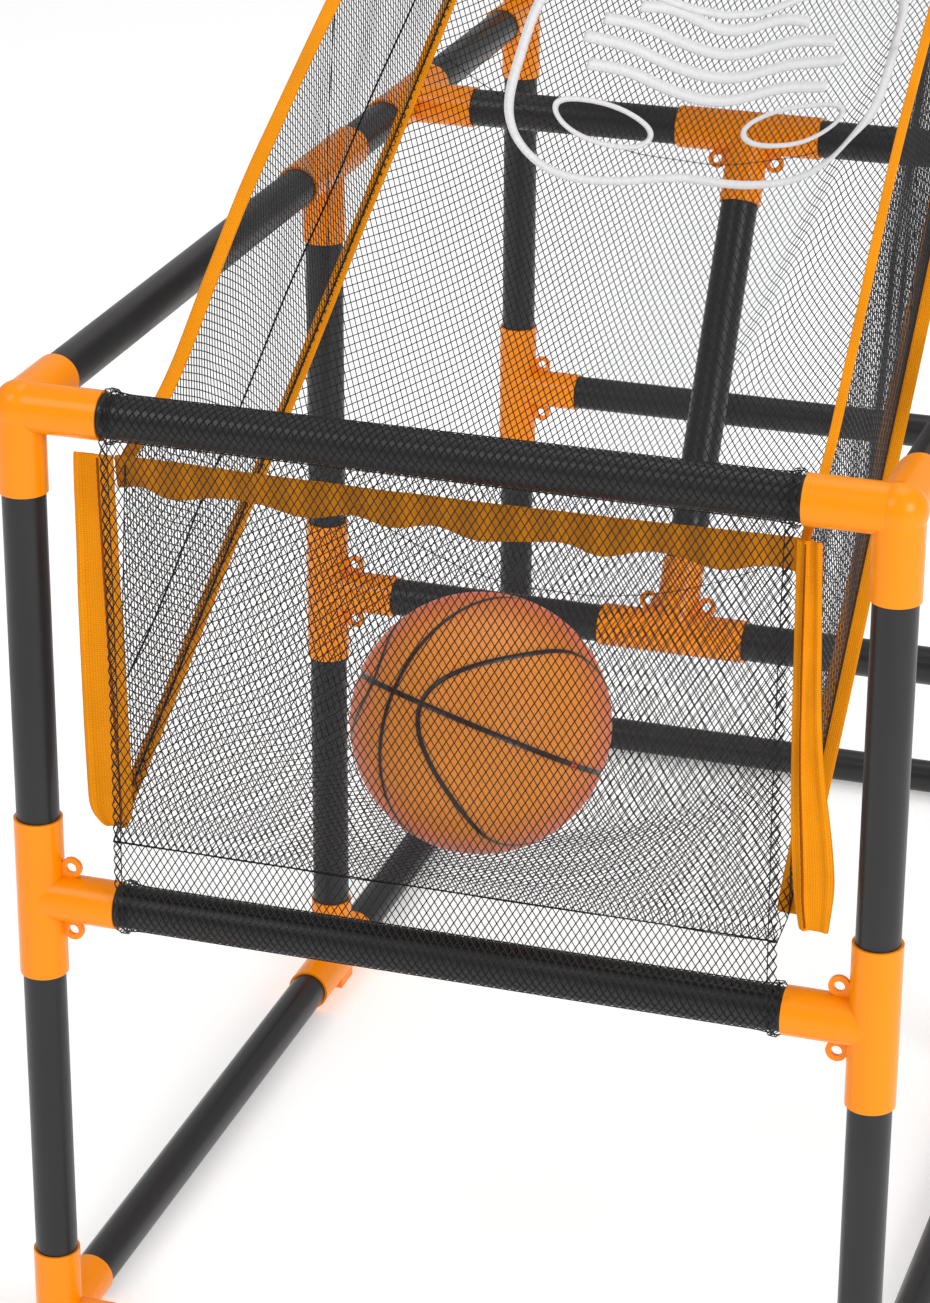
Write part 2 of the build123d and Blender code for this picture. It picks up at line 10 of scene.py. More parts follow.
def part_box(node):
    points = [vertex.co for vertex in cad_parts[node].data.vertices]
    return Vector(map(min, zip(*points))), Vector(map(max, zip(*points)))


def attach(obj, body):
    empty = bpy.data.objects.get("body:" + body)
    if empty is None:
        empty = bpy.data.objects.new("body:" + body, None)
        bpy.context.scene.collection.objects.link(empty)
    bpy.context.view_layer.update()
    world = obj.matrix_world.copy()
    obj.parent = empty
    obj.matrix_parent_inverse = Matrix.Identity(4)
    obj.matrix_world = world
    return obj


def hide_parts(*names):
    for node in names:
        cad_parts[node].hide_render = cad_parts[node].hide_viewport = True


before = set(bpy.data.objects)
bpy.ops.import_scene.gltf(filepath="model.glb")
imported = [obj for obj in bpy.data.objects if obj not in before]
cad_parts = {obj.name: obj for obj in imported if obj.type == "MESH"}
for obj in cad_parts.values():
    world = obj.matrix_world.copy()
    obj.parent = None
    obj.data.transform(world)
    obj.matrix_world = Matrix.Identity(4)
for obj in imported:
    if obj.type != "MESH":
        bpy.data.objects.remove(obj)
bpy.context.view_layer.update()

bl_info = {
    "name": "Basketball hoop machine",
    "version": (1, 0, 0),
    "blender": (4, 5, 0),
    "location": "View3D > Sidebar > Hoop machine",
    "description": "Builds the nets, bindings, ball, hoop net and finishes of a basketball machine",
    "category": "Add Mesh",
}

UP = Vector((0, 0, 1))
MM = 0.001
SIDES = {"left": -1, "right": 1}


def centre(node):
    low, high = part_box(node)
    return (low + high) / 2


# ---- places taken from the frame, and the chute's own lines, in metres ----
RAIL = centre("front_bar_top")
LOWER = centre("front_bar_lower")
NET_BAR = centre("net_bar")
TUBE_R = 0.011
POST_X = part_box("posts_upper")[1].x - TUBE_R
BALL_CENTRE = centre("ball")
BALL_R = (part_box("ball")[1].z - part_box("ball")[0].z) / 2
SLEEVE_R = 0.01155          # thread centre line round a bar
NET_HALF = 0.171            # front net, middle to side edge
MOUTH_Y = -0.4062
MOUTH_FLOOR_Z = 0.316
MOUTH_TOP_Z = 0.506
CHUTE_REAR_Y = 0.3937
REAR_FLOOR_Z = 0.846
REAR_TOP_Z = 0.918
FRONT_HALF = 0.172
REAR_HALF = 0.138
SEAM_Z = 0.309
MOUTH_TOP_HALF = {-1: 0.163, 1: 0.172}      # the mouth's upper corners hang a little unevenly
EDGE_INSET = 0.0004         # floor net's edge from the middle of its tape
TAPE_DROP = 0.0013          # tapes lie under the nets' edges
RUN_WAY = Vector((0, CHUTE_REAR_Y - MOUTH_Y, REAR_FLOOR_Z - MOUTH_FLOOR_Z))
RUN_LENGTH = RUN_WAY.length
LIP = 0.0113                # chute floor in front of the mouth, down to its seam
LAP = 0.0132                # chute floor's end over to the net bar's sleeve
SAG_STATIONS = [(0, 7), (0.0705, 50), (0.1143, 74), (0.2, 66), (0.3, 66), (0.4, 64), (0.5, 58)]
SAG_STATIONS += [(0.6, 49.5), (0.7, 38.3), (0.8, 26.4), (0.9, 13.2), (1, 0)]
UPPER_EDGE_WAVE = [(0, 0), (0.07, -7), (0.14, 3), (0.21, 13), (0.33, 18), (0.56, 12), (1, 0)]
RING_R = 0.110
RING_ABOVE_NET = 0.005      # ring's centre line over the top of the hoop net
HOOP = Vector((0, centre("hoop_net").y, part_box("hoop_net")[1].z + RING_ABOVE_NET))


# ---------------------------------------------------------------- settings
def length_of(name, text, default, low=0.0, high=10.0):
    return FloatProperty(
        name=name, description=text, default=default, min=low, max=high, unit="LENGTH", precision=5
    )


def colour_of(name, text, default):
    return FloatVectorProperty(
        name=name, description=text, default=default, size=4, min=0, max=1, subtype="COLOR"
    )


class NetSettings(bpy.types.PropertyGroup):
    cell: length_of("Cell width", "Width of one four-sided hole of the mesh", 0.0040, 0.002)
    rise: length_of("Cell rise", "Distance between two rows of holes", 0.0033, 0.002)
    thread: length_of("Thread", "Thickness of the mesh's thread", 0.00056, 0.0002)
    ripple: length_of("Ripple", "Height of the loose waves in the side nets", 0.0022)
    crease: length_of("Crease", "Height of the long fold in the chute floor", 0.008)


class BindingSettings(bpy.types.PropertyGroup):
    lower_width: length_of("Lower tape", "Width of the flat tapes along the chute's floor", 0.014)
    upper_width: length_of("Upper tape", "Width of the tapes folded over the side nets' edges", 0.005)
    flap_width: length_of("Flap width", "Width of the upright flaps at the mouth", 0.018)
    hem_height: length_of("Hem height", "Height of the band under the top bar", 0.020)
    thickness: length_of("Thickness", "Thickness of the woven tape", 0.0011, 0.0002)
    print_width: length_of("Print line", "Width of the printed outline on the floor net", 0.0055)


class HoopSettings(bpy.types.PropertyGroup):
    loops: IntProperty(name="Loops", description="Loops of the net round the ring", default=12, min=6, max=24)
    rows: IntProperty(name="Rows", description="Rows of holes down the net", default=5, min=2, max=8)
    cord: length_of("Cord", "Thickness of the net's cord", 0.0044, 0.001)
    net_length: length_of("Net length", "Height of the hanging net", 0.186, 0.05)
    end_radius: length_of("End radius", "Radius of the net's open lower end", 0.075, 0.04)


class BallSettings(bpy.types.PropertyGroup):
    groove: length_of("Seam width", "Half width of the sunken seams", 0.0014, 0.0003)
    depth: length_of("Seam depth", "Depth of the sunken seams", 0.0006)
    bands: IntProperty(name="Fineness", description="Subdivisions of the ball", default=7, min=4, max=8)


class FinishSettings(bpy.types.PropertyGroup):
    tube: colour_of("Tube", "Satin coat of the tubes", (0.011, 0.011, 0.0125, 1))
    connector: colour_of("Connector", "Moulded plastic of the connectors", (1.0, 0.29, 0.0, 1))
    mesh: colour_of("Mesh", "Thread of the black nets", (0.006, 0.006, 0.007, 1))
    tape: colour_of("Tape", "Woven orange tape", (1.0, 0.34, 0.004, 1))
    ball: colour_of("Ball", "Rubber of the ball", (1.0, 0.32, 0.02, 1))
    seam: colour_of("Seam", "Sunken seams of the ball", (0.025, 0.006, 0.005, 1))
    ring: colour_of("Ring", "Coat of the hoop's steel", (0.95, 0.16, 0.008, 1))
    cord: colour_of("Cord", "Cord of the hoop net", (0.82, 0.82, 0.8, 1))
    board: colour_of("Board", "Face of the backboard", (0.86, 0.87, 0.88, 1))
    ink: colour_of("Ink", "Ink printed on the floor net", (0.92, 0.92, 0.93, 1))


class StageSettings(bpy.types.PropertyGroup):
    floor_size: length_of("Floor size", "Half width of the floor", 40.0, 1.0)
    light: FloatProperty(name="Light", description="Strength of the soft lights", default=1.0, min=0.0)
    sky: FloatProperty(name="Sky", description="Strength of the even light all round", default=0.55, min=0.0)


class MachineSettings(bpy.types.PropertyGroup):
    net: PointerProperty(type=NetSettings)
    binding: PointerProperty(type=BindingSettings)
    hoop: PointerProperty(type=HoopSettings)
    ball: PointerProperty(type=BallSettings)
    finish: PointerProperty(type=FinishSettings)
    stage: PointerProperty(type=StageSettings)


def settings():
    return bpy.context.scene.hoop_machine


# ---------------------------------------------------------------- shader helpers
def put(tree, kind, inputs=(), **options):
    """A node with its options set and its inputs set or linked."""
    made = tree.nodes.new(kind)
    for key, value in options.items():
        setattr(made, key, value)
    for key, value in dict(inputs).items():
        if isinstance(value, bpy.types.NodeSocket):
            tree.links.new(value, made.inputs[key])
        else:
            made.inputs[key].default_value = value
    return made


def calc(tree, what, a, b=0.0, clamp=False):
    return put(tree, "ShaderNodeMath", {0: a, 1: b}, operation=what, use_clamp=clamp).outputs[0]


def remap(tree, value, low, high, to_low=0.0, to_high=1.0, smooth=False):
    kind = "SMOOTHSTEP" if smooth else "LINEAR"
    ends = {"Value": value, "From Min": low, "From Max": high, "To Min": to_low, "To Max": to_high}
    return put(tree, "ShaderNodeMapRange", ends, interpolation_type=kind).outputs[0]


def blend_colour(tree, factor, a, b):
    return put(tree, "ShaderNodeMix", {0: factor, 6: a, 7: b}, data_type="RGBA").outputs[2]


def speckle(tree, where, scale, detail=3.0, roughness=0.55):
    ends = {"Vector": where, "Scale": scale, "Detail": detail, "Roughness": roughness}
    return put(tree, "ShaderNodeTexNoise", ends).outputs["Fac"]


def once(make):
    """Each material and shader group is made the first time that it is asked for."""
    made = {}

    def ask():
        if make not in made:
            made[make] = make()
        return made[make]

    return ask


def new_group(name, inputs, outputs):
    """An empty shader group with named sockets; inputs and outputs give (name, kind)."""
    tree = bpy.data.node_groups.new(name, "ShaderNodeTree")
    for way, sockets in (("INPUT", inputs), ("OUTPUT", outputs)):
        for label, kind in sockets:
            tree.interface.new_socket(name=label, in_out=way, socket_type="NodeSocket" + kind)
    return tree, tree.nodes.new("NodeGroupInput").outputs, tree.nodes.new("NodeGroupOutput").inputs


@once
def scuffs_group():
    """Fine rubs and scratches with broad uneven handling marks."""
    wanted = [("Vector", "Vector"), ("Scale", "Float"), ("Amount", "Float")]
    tree, given, out = new_group("Scuffs", wanted, [("Mask", "Float"), ("Patches", "Float")])
    ends = {0: given["Vector"], 3: given["Scale"]}
    size = put(tree, "ShaderNodeVectorMath", ends, operation="SCALE").outputs[0]
    warp = put(tree, "ShaderNodeTexNoise", {"Vector": size, "Scale": 14.0, "Detail": 2.0})
    ends = {0: 0.06, 4: size, 5: warp.outputs["Color"]}
    bent = put(tree, "ShaderNodeMix", ends, data_type="VECTOR").outputs[1]
    lines = put(
        tree, "ShaderNodeTexVoronoi", {"Vector": bent, "Scale": 30.0}, feature="DISTANCE_TO_EDGE"
    ).outputs["Distance"]
    thin = remap(tree, lines, 0.0, 0.02, 1.0, 0.0)
    broken = remap(tree, speckle(tree, size, 42.0, 4.0), 0.53, 0.66)
    patches = remap(tree, speckle(tree, size, 5.0, 5.0, 0.6), 0.42, 0.68, smooth=True)
    mask = calc(tree, "MULTIPLY", calc(tree, "MULTIPLY", thin, broken), given["Amount"], clamp=True)
    tree.links.new(mask, out["Mask"])
    tree.links.new(patches, out["Patches"])
    return tree


@once
def weave_group():
    """Plain weave over a flat strip: height of the yarns, and painted shade in the hollows of the weave."""
    wanted = [("Vector", "Vector"), ("Pitch", "Float")]
    tree, given, out = new_group("Plain weave", wanted, [("Height", "Float"), ("Gap shade", "Float")])
    axes = put(tree, "ShaderNodeSeparateXYZ", {0: given["Vector"]}).outputs
    turns = [calc(tree, "MULTIPLY", calc(tree, "DIVIDE", axes[i], given["Pitch"]), math.pi) for i in (0, 1)]
    a, b = [calc(tree, "SINE", turn) for turn in turns]
    crossed = calc(tree, "MULTIPLY", a, b)
    ribs = calc(tree, "MULTIPLY", calc(tree, "ABSOLUTE", a), calc(tree, "ABSOLUTE", b))
    height = calc(tree, "ADD", calc(tree, "MULTIPLY", crossed, 0.3), calc(tree, "MULTIPLY", ribs, 0.7))
    tree.links.new(height, out["Height"])
    # Gap shade output: painted shade, strongest where the yarns dip low.
    tree.links.new(remap(tree, ribs, 0.0, 0.35, 1.0, 0.0, smooth=True), out["Gap shade"])
    return tree


@once
def frame_line_group():
    """An upright rectangle's outline, by its half sizes and line width, on the x-z plane."""
    wanted = [("Vector", "Vector"), ("Half width", "Float"), ("Half height", "Float"), ("Line", "Float")]
    tree, given, out = new_group("Rectangle outline", wanted, [("Mask", "Float")])
    axes = put(tree, "ShaderNodeSeparateXYZ", {0: given["Vector"]}).outputs
    over_x = calc(tree, "SUBTRACT", calc(tree, "ABSOLUTE", axes[0]), given["Half width"])
    over_z = calc(tree, "SUBTRACT", calc(tree, "ABSOLUTE", axes[2]), given["Half height"])
    edge = calc(tree, "ABSOLUTE", calc(tree, "MAXIMUM", over_x, over_z))
    tree.links.new(calc(tree, "LESS_THAN", edge, calc(tree, "MULTIPLY", given["Line"], 0.5)), out["Mask"])
    return tree


def new_material(name, **even):
    """A material, its tree, its shader node and its object coordinates; even sets plain sockets."""
    material = bpy.data.materials.new(name)
    material.use_nodes = True
    tree = material.node_tree
    shader = tree.nodes["Principled BSDF"]
    for key, value in even.items():
        shader.inputs[key.replace("_", " ")].default_value = value
    where = put(tree, "ShaderNodeTexCoord").outputs
    return material, tree, shader, where


def feed(tree, shader, **sockets):
    for key, value in sockets.items():
        tree.links.new(value, shader.inputs[key.replace("_", " ")])


def bump(tree, height, distance, strength=1.0, under=None):
    ends = {"Height": height, "Distance": distance, "Strength": strength}
    if under is not None:
        ends["Normal"] = under
    return put(tree, "ShaderNodeBump", ends).outputs[0]


def scuffs(tree, where, scale, amount):
    ends = {"Vector": where, "Scale": scale, "Amount": amount}
    return put(tree, "ShaderNodeGroup", ends, node_tree=scuffs_group()).outputs


def weave(tree, where, pitch):
    return put(tree, "ShaderNodeGroup", {"Vector": where, "Pitch": pitch}, node_tree=weave_group()).outputs


def shade(colour, by):
    return tuple(min(1.0, c * by) for c in colour[:3]) + (1,)


# ---------------------------------------------------------------- materials
@once
def tube_coat():
    colour = settings().finish.tube
    material, tree, shader, where = new_material("Satin tube coat", Specular_IOR_Level=0.4)
    marks = scuffs(tree, where["Object"], 1.6, 0.06)
    cloud = speckle(tree, where["Object"], 9.0, 4.0)
    base = blend_colour(tree, cloud, shade(colour, 0.75), shade(colour, 1.5))
    base = blend_colour(tree, marks["Mask"], base, (0.11, 0.11, 0.115, 1))
    rough = remap(tree, marks["Patches"], 0.0, 1.0, 0.33, 0.46)
    grain = speckle(tree, where["Object"], 900.0, 2.0)
    peel = speckle(tree, where["Object"], 160.0, 2.0)
    normal = bump(tree, peel, 0.00008, 0.5, under=bump(tree, grain, 0.00003, 0.5))
    feed(tree, shader, Base_Color=base, Roughness=rough, Normal=normal)
    return material


@once
def connector_plastic():
    colour = settings().finish.connector
    material, tree, shader, where = new_material("Moulded orange plastic", Specular_IOR_Level=0.25)
    marks = scuffs(tree, where["Object"], 2.2, 0.12)
    flow = speckle(tree, where["Object"], 22.0, 3.0)
    base = blend_colour(tree, flow, shade(colour, 0.93), colour)
    base = blend_colour(tree, marks["Mask"], base, (1.0, 0.5, 0.12, 1))
    rough = remap(tree, marks["Patches"], 0.0, 1.0, 0.2, 0.34)
    ripple = speckle(tree, where["Object"], 70.0, 1.0)
    fine = speckle(tree, where["Object"], 1100.0, 1.0)
    normal = bump(tree, ripple, 0.0002, 0.5, under=bump(tree, fine, 0.00002, 0.4))
    feed(tree, shader, Base_Color=base, Roughness=rough, Normal=normal)
    return material


@once
def mesh_thread():
    colour = settings().finish.mesh
    even = {"Specular_IOR_Level": 0.25, "Sheen_Weight": 0.05}
    material, tree, shader, where = new_material("Black mesh thread", **even)
    fuzz = speckle(tree, where["Object"], 2400.0, 2.0)
    fade = speckle(tree, where["Object"], 18.0, 3.0)
    base = blend_colour(tree, fade, shade(colour, 0.8), shade(colour, 2.0))
    rough = remap(tree, fuzz, 0.3, 0.7, 0.42, 0.62)
    feed(tree, shader, Base_Color=base, Roughness=rough, Normal=bump(tree, fuzz, 0.00006, 0.6))
    return material


def woven(name, colour, pitch, gap_shade):
    """Woven tape on a strip's own map, which is in metres, with painted shade in the hollows of its weave."""
    material, tree, shader, where = new_material(name, Specular_IOR_Level=0.1, Sheen_Weight=0.02)
    yarns = weave(tree, where["UV"], pitch)
    fade = speckle(tree, where["Object"], 30.0, 4.0)
    base = blend_colour(tree, remap(tree, fade, 0.35, 0.7), shade(colour, 0.86), colour)
    # Painted shade: the tape's colour darkened to 0.45 of itself in the hollows of its weave.
    gap = calc(tree, "MULTIPLY", yarns["Gap shade"], gap_shade)
    base = blend_colour(tree, gap, base, shade(colour, 0.45))
    rough = remap(tree, yarns["Height"], 0.0, 1.0, 0.85, 0.6)
    fuzz = speckle(tree, where["Object"], 1500.0, 2.0)
    normal = bump(tree, yarns["Height"], 0.0003, 0.8, under=bump(tree, fuzz, 0.0001, 0.5))
    feed(tree, shader, Base_Color=base, Roughness=rough, Normal=normal)
    return material


@once
def orange_tape():
    return woven("Woven orange tape", tuple(settings().finish.tape), 0.0011, 0.5)


@once
def stitch_thread():
    return woven("Brown stitching", (0.42, 0.09, 0.003, 1), 0.0008, 0.6)


@once
def black_tape():
    return woven("Black seam tape", tuple(settings().finish.mesh), 0.0009, 0.5)


@once
def printed_ink():
    colour = settings().finish.ink
    material, tree, shader, where = new_material("Printed white ink", Specular_IOR_Level=0.3)
    threads = weave(tree, where["UV"], 0.0021)
    wear = remap(tree, speckle(tree, where["Object"], 260.0, 4.0), 0.3, 0.75)
    base = blend_colour(tree, wear, shade(colour, 0.93), colour)
    # Painted shade: a faint grey in the hollows of the weave under the ink.
    base = blend_colour(tree, calc(tree, "MULTIPLY", threads["Gap shade"], 0.12), base, (0.45, 0.45, 0.46, 1))
    rough = remap(tree, wear, 0.0, 1.0, 0.45, 0.62)
    normal = bump(tree, threads["Height"], 0.00025, 0.6)
    feed(tree, shader, Base_Color=base, Roughness=rough, Normal=normal)
    return material


@once
def ring_coat():
    colour = settings().finish.ring
    even = {"Specular_IOR_Level": 0.5, "Coat_Roughness": 0.12}
    material, tree, shader, where = new_material("Coated hoop steel", **even)
    marks = scuffs(tree, where["Object"], 3.0, 0.8)
    base = blend_colour(tree, speckle(tree, where["Object"], 30.0), shade(colour, 0.86), colour)
    base = blend_colour(tree, marks["Mask"], base, (0.3, 0.29, 0.28, 1))
    rough = remap(tree, marks["Patches"], 0.0, 1.0, 0.24, 0.38)
    peel = speckle(tree, where["Object"], 380.0, 2.0)
    coat = remap(tree, marks["Patches"], 0.0, 1.0, 0.5, 0.25)
    normal = bump(tree, peel, 0.00008, 0.6)
    feed(tree, shader, Base_Color=base, Roughness=rough, Coat_Weight=coat, Normal=normal)
    return material


@once
def hoop_cord():
    colour = settings().finish.cord
    even = {"Specular_IOR_Level": 0.25, "Sheen_Weight": 0.3}
    material, tree, shader, where = new_material("Braided white cord", **even)
    ends = {"Vector": where["Object"], "Scale": 260.0, "Distortion": 1.5, "Detail": 2.0}
    strands = put(tree, "ShaderNodeTexWave", ends, bands_direction="DIAGONAL").outputs["Fac"]
    grime = remap(tree, speckle(tree, where["Object"], 40.0, 4.0), 0.4, 0.75)
    base = blend_colour(tree, grime, colour, shade(colour, 0.86))
    # Painted shade: grey in the grooves of the braid, where the strands dip.
    gap = calc(tree, "MULTIPLY", calc(tree, "SUBTRACT", 1.0, strands), 0.3)
    base = blend_colour(tree, gap, base, (0.45, 0.45, 0.44, 1))
    rough = remap(tree, strands, 0.0, 1.0, 0.9, 0.72)
    feed(tree, shader, Base_Color=base, Roughness=rough, Normal=bump(tree, strands, 0.0004, 0.8))
    return material


@once
def zinc_steel():
    material, tree, shader, where = new_material("Zinc plated steel", Specular_IOR_Level=0.5)
    ends = {"Vector": where["Object"], "Scale": 900.0, "Detail": 3.0}
    brushed = put(tree, "ShaderNodeTexNoise", ends).outputs["Fac"]
    marks = scuffs(tree, where["Object"], 9.0, 0.6)
    base = blend_colour(tree, brushed, (0.5, 0.51, 0.52, 1), (0.72, 0.72, 0.7, 1))
    base = blend_colour(tree, marks["Mask"], base, (0.3, 0.3, 0.3, 1))
    metal = remap(tree, marks["Patches"], 0.0, 1.0, 1.0, 0.92)
    rough = remap(tree, brushed, 0.3, 0.7, 0.22, 0.4)
    normal = bump(tree, brushed, 0.00004, 0.5)
    feed(tree, shader, Base_Color=base, Roughness=rough, Metallic=metal, Normal=normal)
    return material


def grained(name, colours, scale, detail, rough_ends, depth, strength):
    """A moulded material with one fine grain for its colour, roughness and relief."""
    material, tree, shader, where = new_material(name, Specular_IOR_Level=0.4)
    grain = speckle(tree, where["Object"], scale, detail)
    base = blend_colour(tree, grain, *colours)
    rough = remap(tree, grain, 0.3, 0.7, *rough_ends)
    feed(tree, shader, Base_Color=base, Roughness=rough, Normal=bump(tree, grain, depth, strength))
    return material


@once
def spacer_plastic():
    colours = (0.012, 0.012, 0.012, 1), (0.035, 0.035, 0.035, 1)
    return grained("Black spacer plastic", colours, 600.0, 3.0, (0.45, 0.65), 0.00006, 0.6)


@once
def board_face():
    """White sheet with a plain orange border, a black target rectangle and a thin inner line."""
    low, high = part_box("backboard")
    middle, half = (low + high) / 2, (high - low) / 2
    colour = settings().finish.board
    orange = settings().finish.connector
    black = (0.02, 0.02, 0.022, 1)
    material, tree, shader, where = new_material("Printed backboard sheet", Specular_IOR_Level=0.45)

    def outline(at, half_width, half_height, line):
        moved = put(tree, "ShaderNodeMapping", {"Vector": where["Object"], "Location": -at}).outputs[0]
        ends = {"Vector": moved, "Half width": half_width, "Half height": half_height, "Line": line}
        mask = put(tree, "ShaderNodeGroup", ends, node_tree=frame_line_group()).outputs["Mask"]
        return calc(tree, "MULTIPLY", mask, front)

    depth = put(tree, "ShaderNodeSeparateXYZ", {0: where["Object"]}).outputs[1]
    front = calc(tree, "LESS_THAN", depth, low.y + 0.0005)
    marks = scuffs(tree, where["Object"], 1.4, 0.3)
    target = Vector((0, 0, HOOP.z + 0.072))
    base = blend_colour(tree, marks["Patches"], shade(colour, 0.97), colour)
    for at, half_width, half_height, line, ink in (
        (middle, half.x - 0.014, half.z - 0.014, 0.012, orange),
        (middle, half.x - 0.026, half.z - 0.026, 0.003, black),
        (target, 0.078, 0.055, 0.009, black),
        (target, 0.068, 0.045, 0.003, orange),
    ):
        base = blend_colour(tree, outline(at, half_width, half_height, line), base, ink)
    base = blend_colour(tree, calc(tree, "MULTIPLY", marks["Mask"], 0.5), base, (0.55, 0.55, 0.55, 1))
    rough = remap(tree, marks["Patches"], 0.0, 1.0, 0.3, 0.42)
    grain = speckle(tree, where["Object"], 420.0, 2.0)
    feed(tree, shader, Base_Color=base, Roughness=rough, Normal=bump(tree, grain, 0.00005, 0.5))
    return material


# The ball's own axes: z is across the long seam, x across the crossing seam.
BALL_TURN = Euler([math.radians(a) for a in (-149.24, 1.02, 148.56)])
CURVE = (0.279, 1.345, -1.262)      # curved seams: |x| = a + b z^2 + c z^4 on a unit ball


def seam_distances(p):
    """How far a point of the unit ball is from the three seam families."""
    x, z2 = abs(p.x), p.z * p.z
    slope = CURVE[1] + 2 * CURVE[2] * z2
    off = x - (CURVE[0] + CURVE[1] * z2 + CURVE[2] * z2 * z2)
    way = Vector((1, 0, -2 * abs(p.z) * slope))
    radial = x - 2 * z2 * slope
    steep = math.sqrt(max(way.length_squared - radial * radial, 0.05))
    return abs(p.z), x, abs(off) / steep


@once
def ball_seams_group():
    """Distance on the ball to its nearest seam, as a share of its radius."""
    tree, given, out = new_group("Ball seams", [("Vector", "Vector")], [("Distance", "Float")])
    axes = put(tree, "ShaderNodeSeparateXYZ", {0: given["Vector"]}).outputs
    x, z = calc(tree, "ABSOLUTE", axes[0]), calc(tree, "ABSOLUTE", axes[2])
    z2 = calc(tree, "MULTIPLY", z, z)
    curve = calc(tree, "ADD", calc(tree, "MULTIPLY", calc(tree, "MULTIPLY", z2, z2), CURVE[2]), CURVE[0])
    curve = calc(tree, "ADD", curve, calc(tree, "MULTIPLY", z2, CURVE[1]))
    slope = calc(tree, "ADD", calc(tree, "MULTIPLY", z2, 2 * CURVE[2]), CURVE[1])
    across = calc(tree, "MULTIPLY", calc(tree, "MULTIPLY", z, slope), 2.0)
    radial = calc(tree, "SUBTRACT", x, calc(tree, "MULTIPLY", across, z))
    squares = [calc(tree, "MULTIPLY", part, part) for part in (across, radial)]
    squared = calc(tree, "SUBTRACT", *squares)
    steep = calc(tree, "SQRT", calc(tree, "MAXIMUM", calc(tree, "ADD", squared, 1.0), 0.05))
    bent = calc(tree, "DIVIDE", calc(tree, "ABSOLUTE", calc(tree, "SUBTRACT", x, curve)), steep)
    nearest = calc(tree, "MINIMUM", calc(tree, "MINIMUM", x, z), bent)
    tree.links.new(nearest, out["Distance"])
    return tree


@once
def ball_rubber():
    finish = settings().finish
    material, tree, shader, where = new_material("Pebbled ball rubber", Specular_IOR_Level=0.55)
    ends = {"Vector": where["Object"], "Location": BALL_CENTRE, "Rotation": BALL_TURN, "Scale": (BALL_R,) * 3}
    local = put(tree, "ShaderNodeMapping", ends, vector_type="TEXTURE").outputs[0]
    away = put(tree, "ShaderNodeGroup", {"Vector": local}, node_tree=ball_seams_group()).outputs["Distance"]
    width = settings().ball.groove / BALL_R
    seam = remap(tree, away, width * 0.8, width * 1.15, 1.0, 0.0, smooth=True)
    shadow = remap(tree, away, width, width * 2.6, 0.5, 0.0, smooth=True)
    ends = {"Vector": local, "Scale": 62.0, "Randomness": 0.65}
    cells = put(tree, "ShaderNodeTexVoronoi", ends, feature="SMOOTH_F1").outputs["Distance"]
    pebble = remap(tree, cells, 0.1, 0.6, 1.0, 0.0, smooth=True)
    cloud = speckle(tree, local, 2.6, 4.0)
    base = blend_colour(tree, remap(tree, cloud, 0.35, 0.65), shade(finish.ball, 0.93), finish.ball)
    # Painted shade at the rim: darker, redder rubber where the ball turns away from the camera.
    turned = put(tree, "ShaderNodeLayerWeight", {"Blend": 0.5}).outputs["Facing"]
    base = blend_colour(tree, remap(tree, turned, 0.25, 0.95, smooth=True), base, (0.9, 0.115, 0.02, 1))
    # Painted shade: darker rubber in the hollows round the pebbles.
    pebble_gap_shade = calc(tree, "MULTIPLY", calc(tree, "SUBTRACT", 1.0, pebble), 0.22)
    base = blend_colour(tree, pebble_gap_shade, base, shade(finish.ball, 0.62))
    base = blend_colour(tree, shadow, base, shade(finish.ball, 0.5))
    base = blend_colour(tree, seam, base, finish.seam)
    rough = remap(tree, seam, 0.0, 1.0, 0.4, 0.3)
    height = calc(tree, "MULTIPLY", pebble, calc(tree, "SUBTRACT", 1.0, seam))
    feed(tree, shader, Base_Color=base, Roughness=rough, Normal=bump(tree, height, 0.0003, 0.7))
    return material


@once
def valve_rubber():
    colours = (0.62, 0.03, 0.015, 1), (0.75, 0.09, 0.04, 1)
    return grained("Red valve rubber", colours, 900.0, 2.0, (0.4, 0.55), 0.00005, 0.5)


@once
def floor_surface():
    material, tree, shader, where = new_material("Pale studio floor", Specular_IOR_Level=0.1)
    tint = speckle(tree, where["Object"], 1.2, 2.0)
    base = blend_colour(tree, tint, (0.95, 0.95, 0.95, 1), (0.96, 0.96, 0.96, 1))
    shader.inputs["Emission Color"].default_value = (1, 1, 1, 1)
    shader.inputs["Emission Strength"].default_value = 0.3
    feed(tree, shader, Base_Color=base, Roughness=remap(tree, tint, 0.0, 1.0, 0.85, 0.95))
    return material


# ---------------------------------------------------------------- making pieces
def add_object(name, data):
    made = bpy.data.objects.new(name, data)
    bpy.context.scene.collection.objects.link(made)
    return made


def add_mesh(bm, name, material):
    mesh = bpy.data.meshes.new(name)
    bm.to_mesh(mesh)
    bm.free()
    mesh.materials.append(material)
    return add_object(name, mesh)


def finish_piece(bm, name, material, stands_for=(), body="frame", smooth=True):
    """Puts a bmesh in the scene as a piece of the machine."""
    piece = add_mesh(bm, name, material)
    if smooth:
        piece.data.shade_smooth()
    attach(piece, body)
    if stands_for:
        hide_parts(*stands_for)
    return piece


def repaint(nodes, material):
    """Gives CAD nodes a better finish and leaves their shape alone."""
    for name in nodes:
        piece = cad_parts[name]
        if piece.material_slots:
            for place in piece.material_slots:
                place.material = material
        else:
            piece.data.materials.append(material)


def everything(bm):
    return bm.verts[:] + bm.edges[:] + bm.faces[:]


def corners_in(geometry):
    return [v for v in geometry if isinstance(v, bmesh.types.BMVert)]


def copy_by(bm, geometry, step):
    """Copies a part of a bmesh and moves the copy by one step."""
    copied = bmesh.ops.duplicate(bm, geom=geometry)["geom"]
    bmesh.ops.translate(bm, verts=corners_in(copied), vec=step)


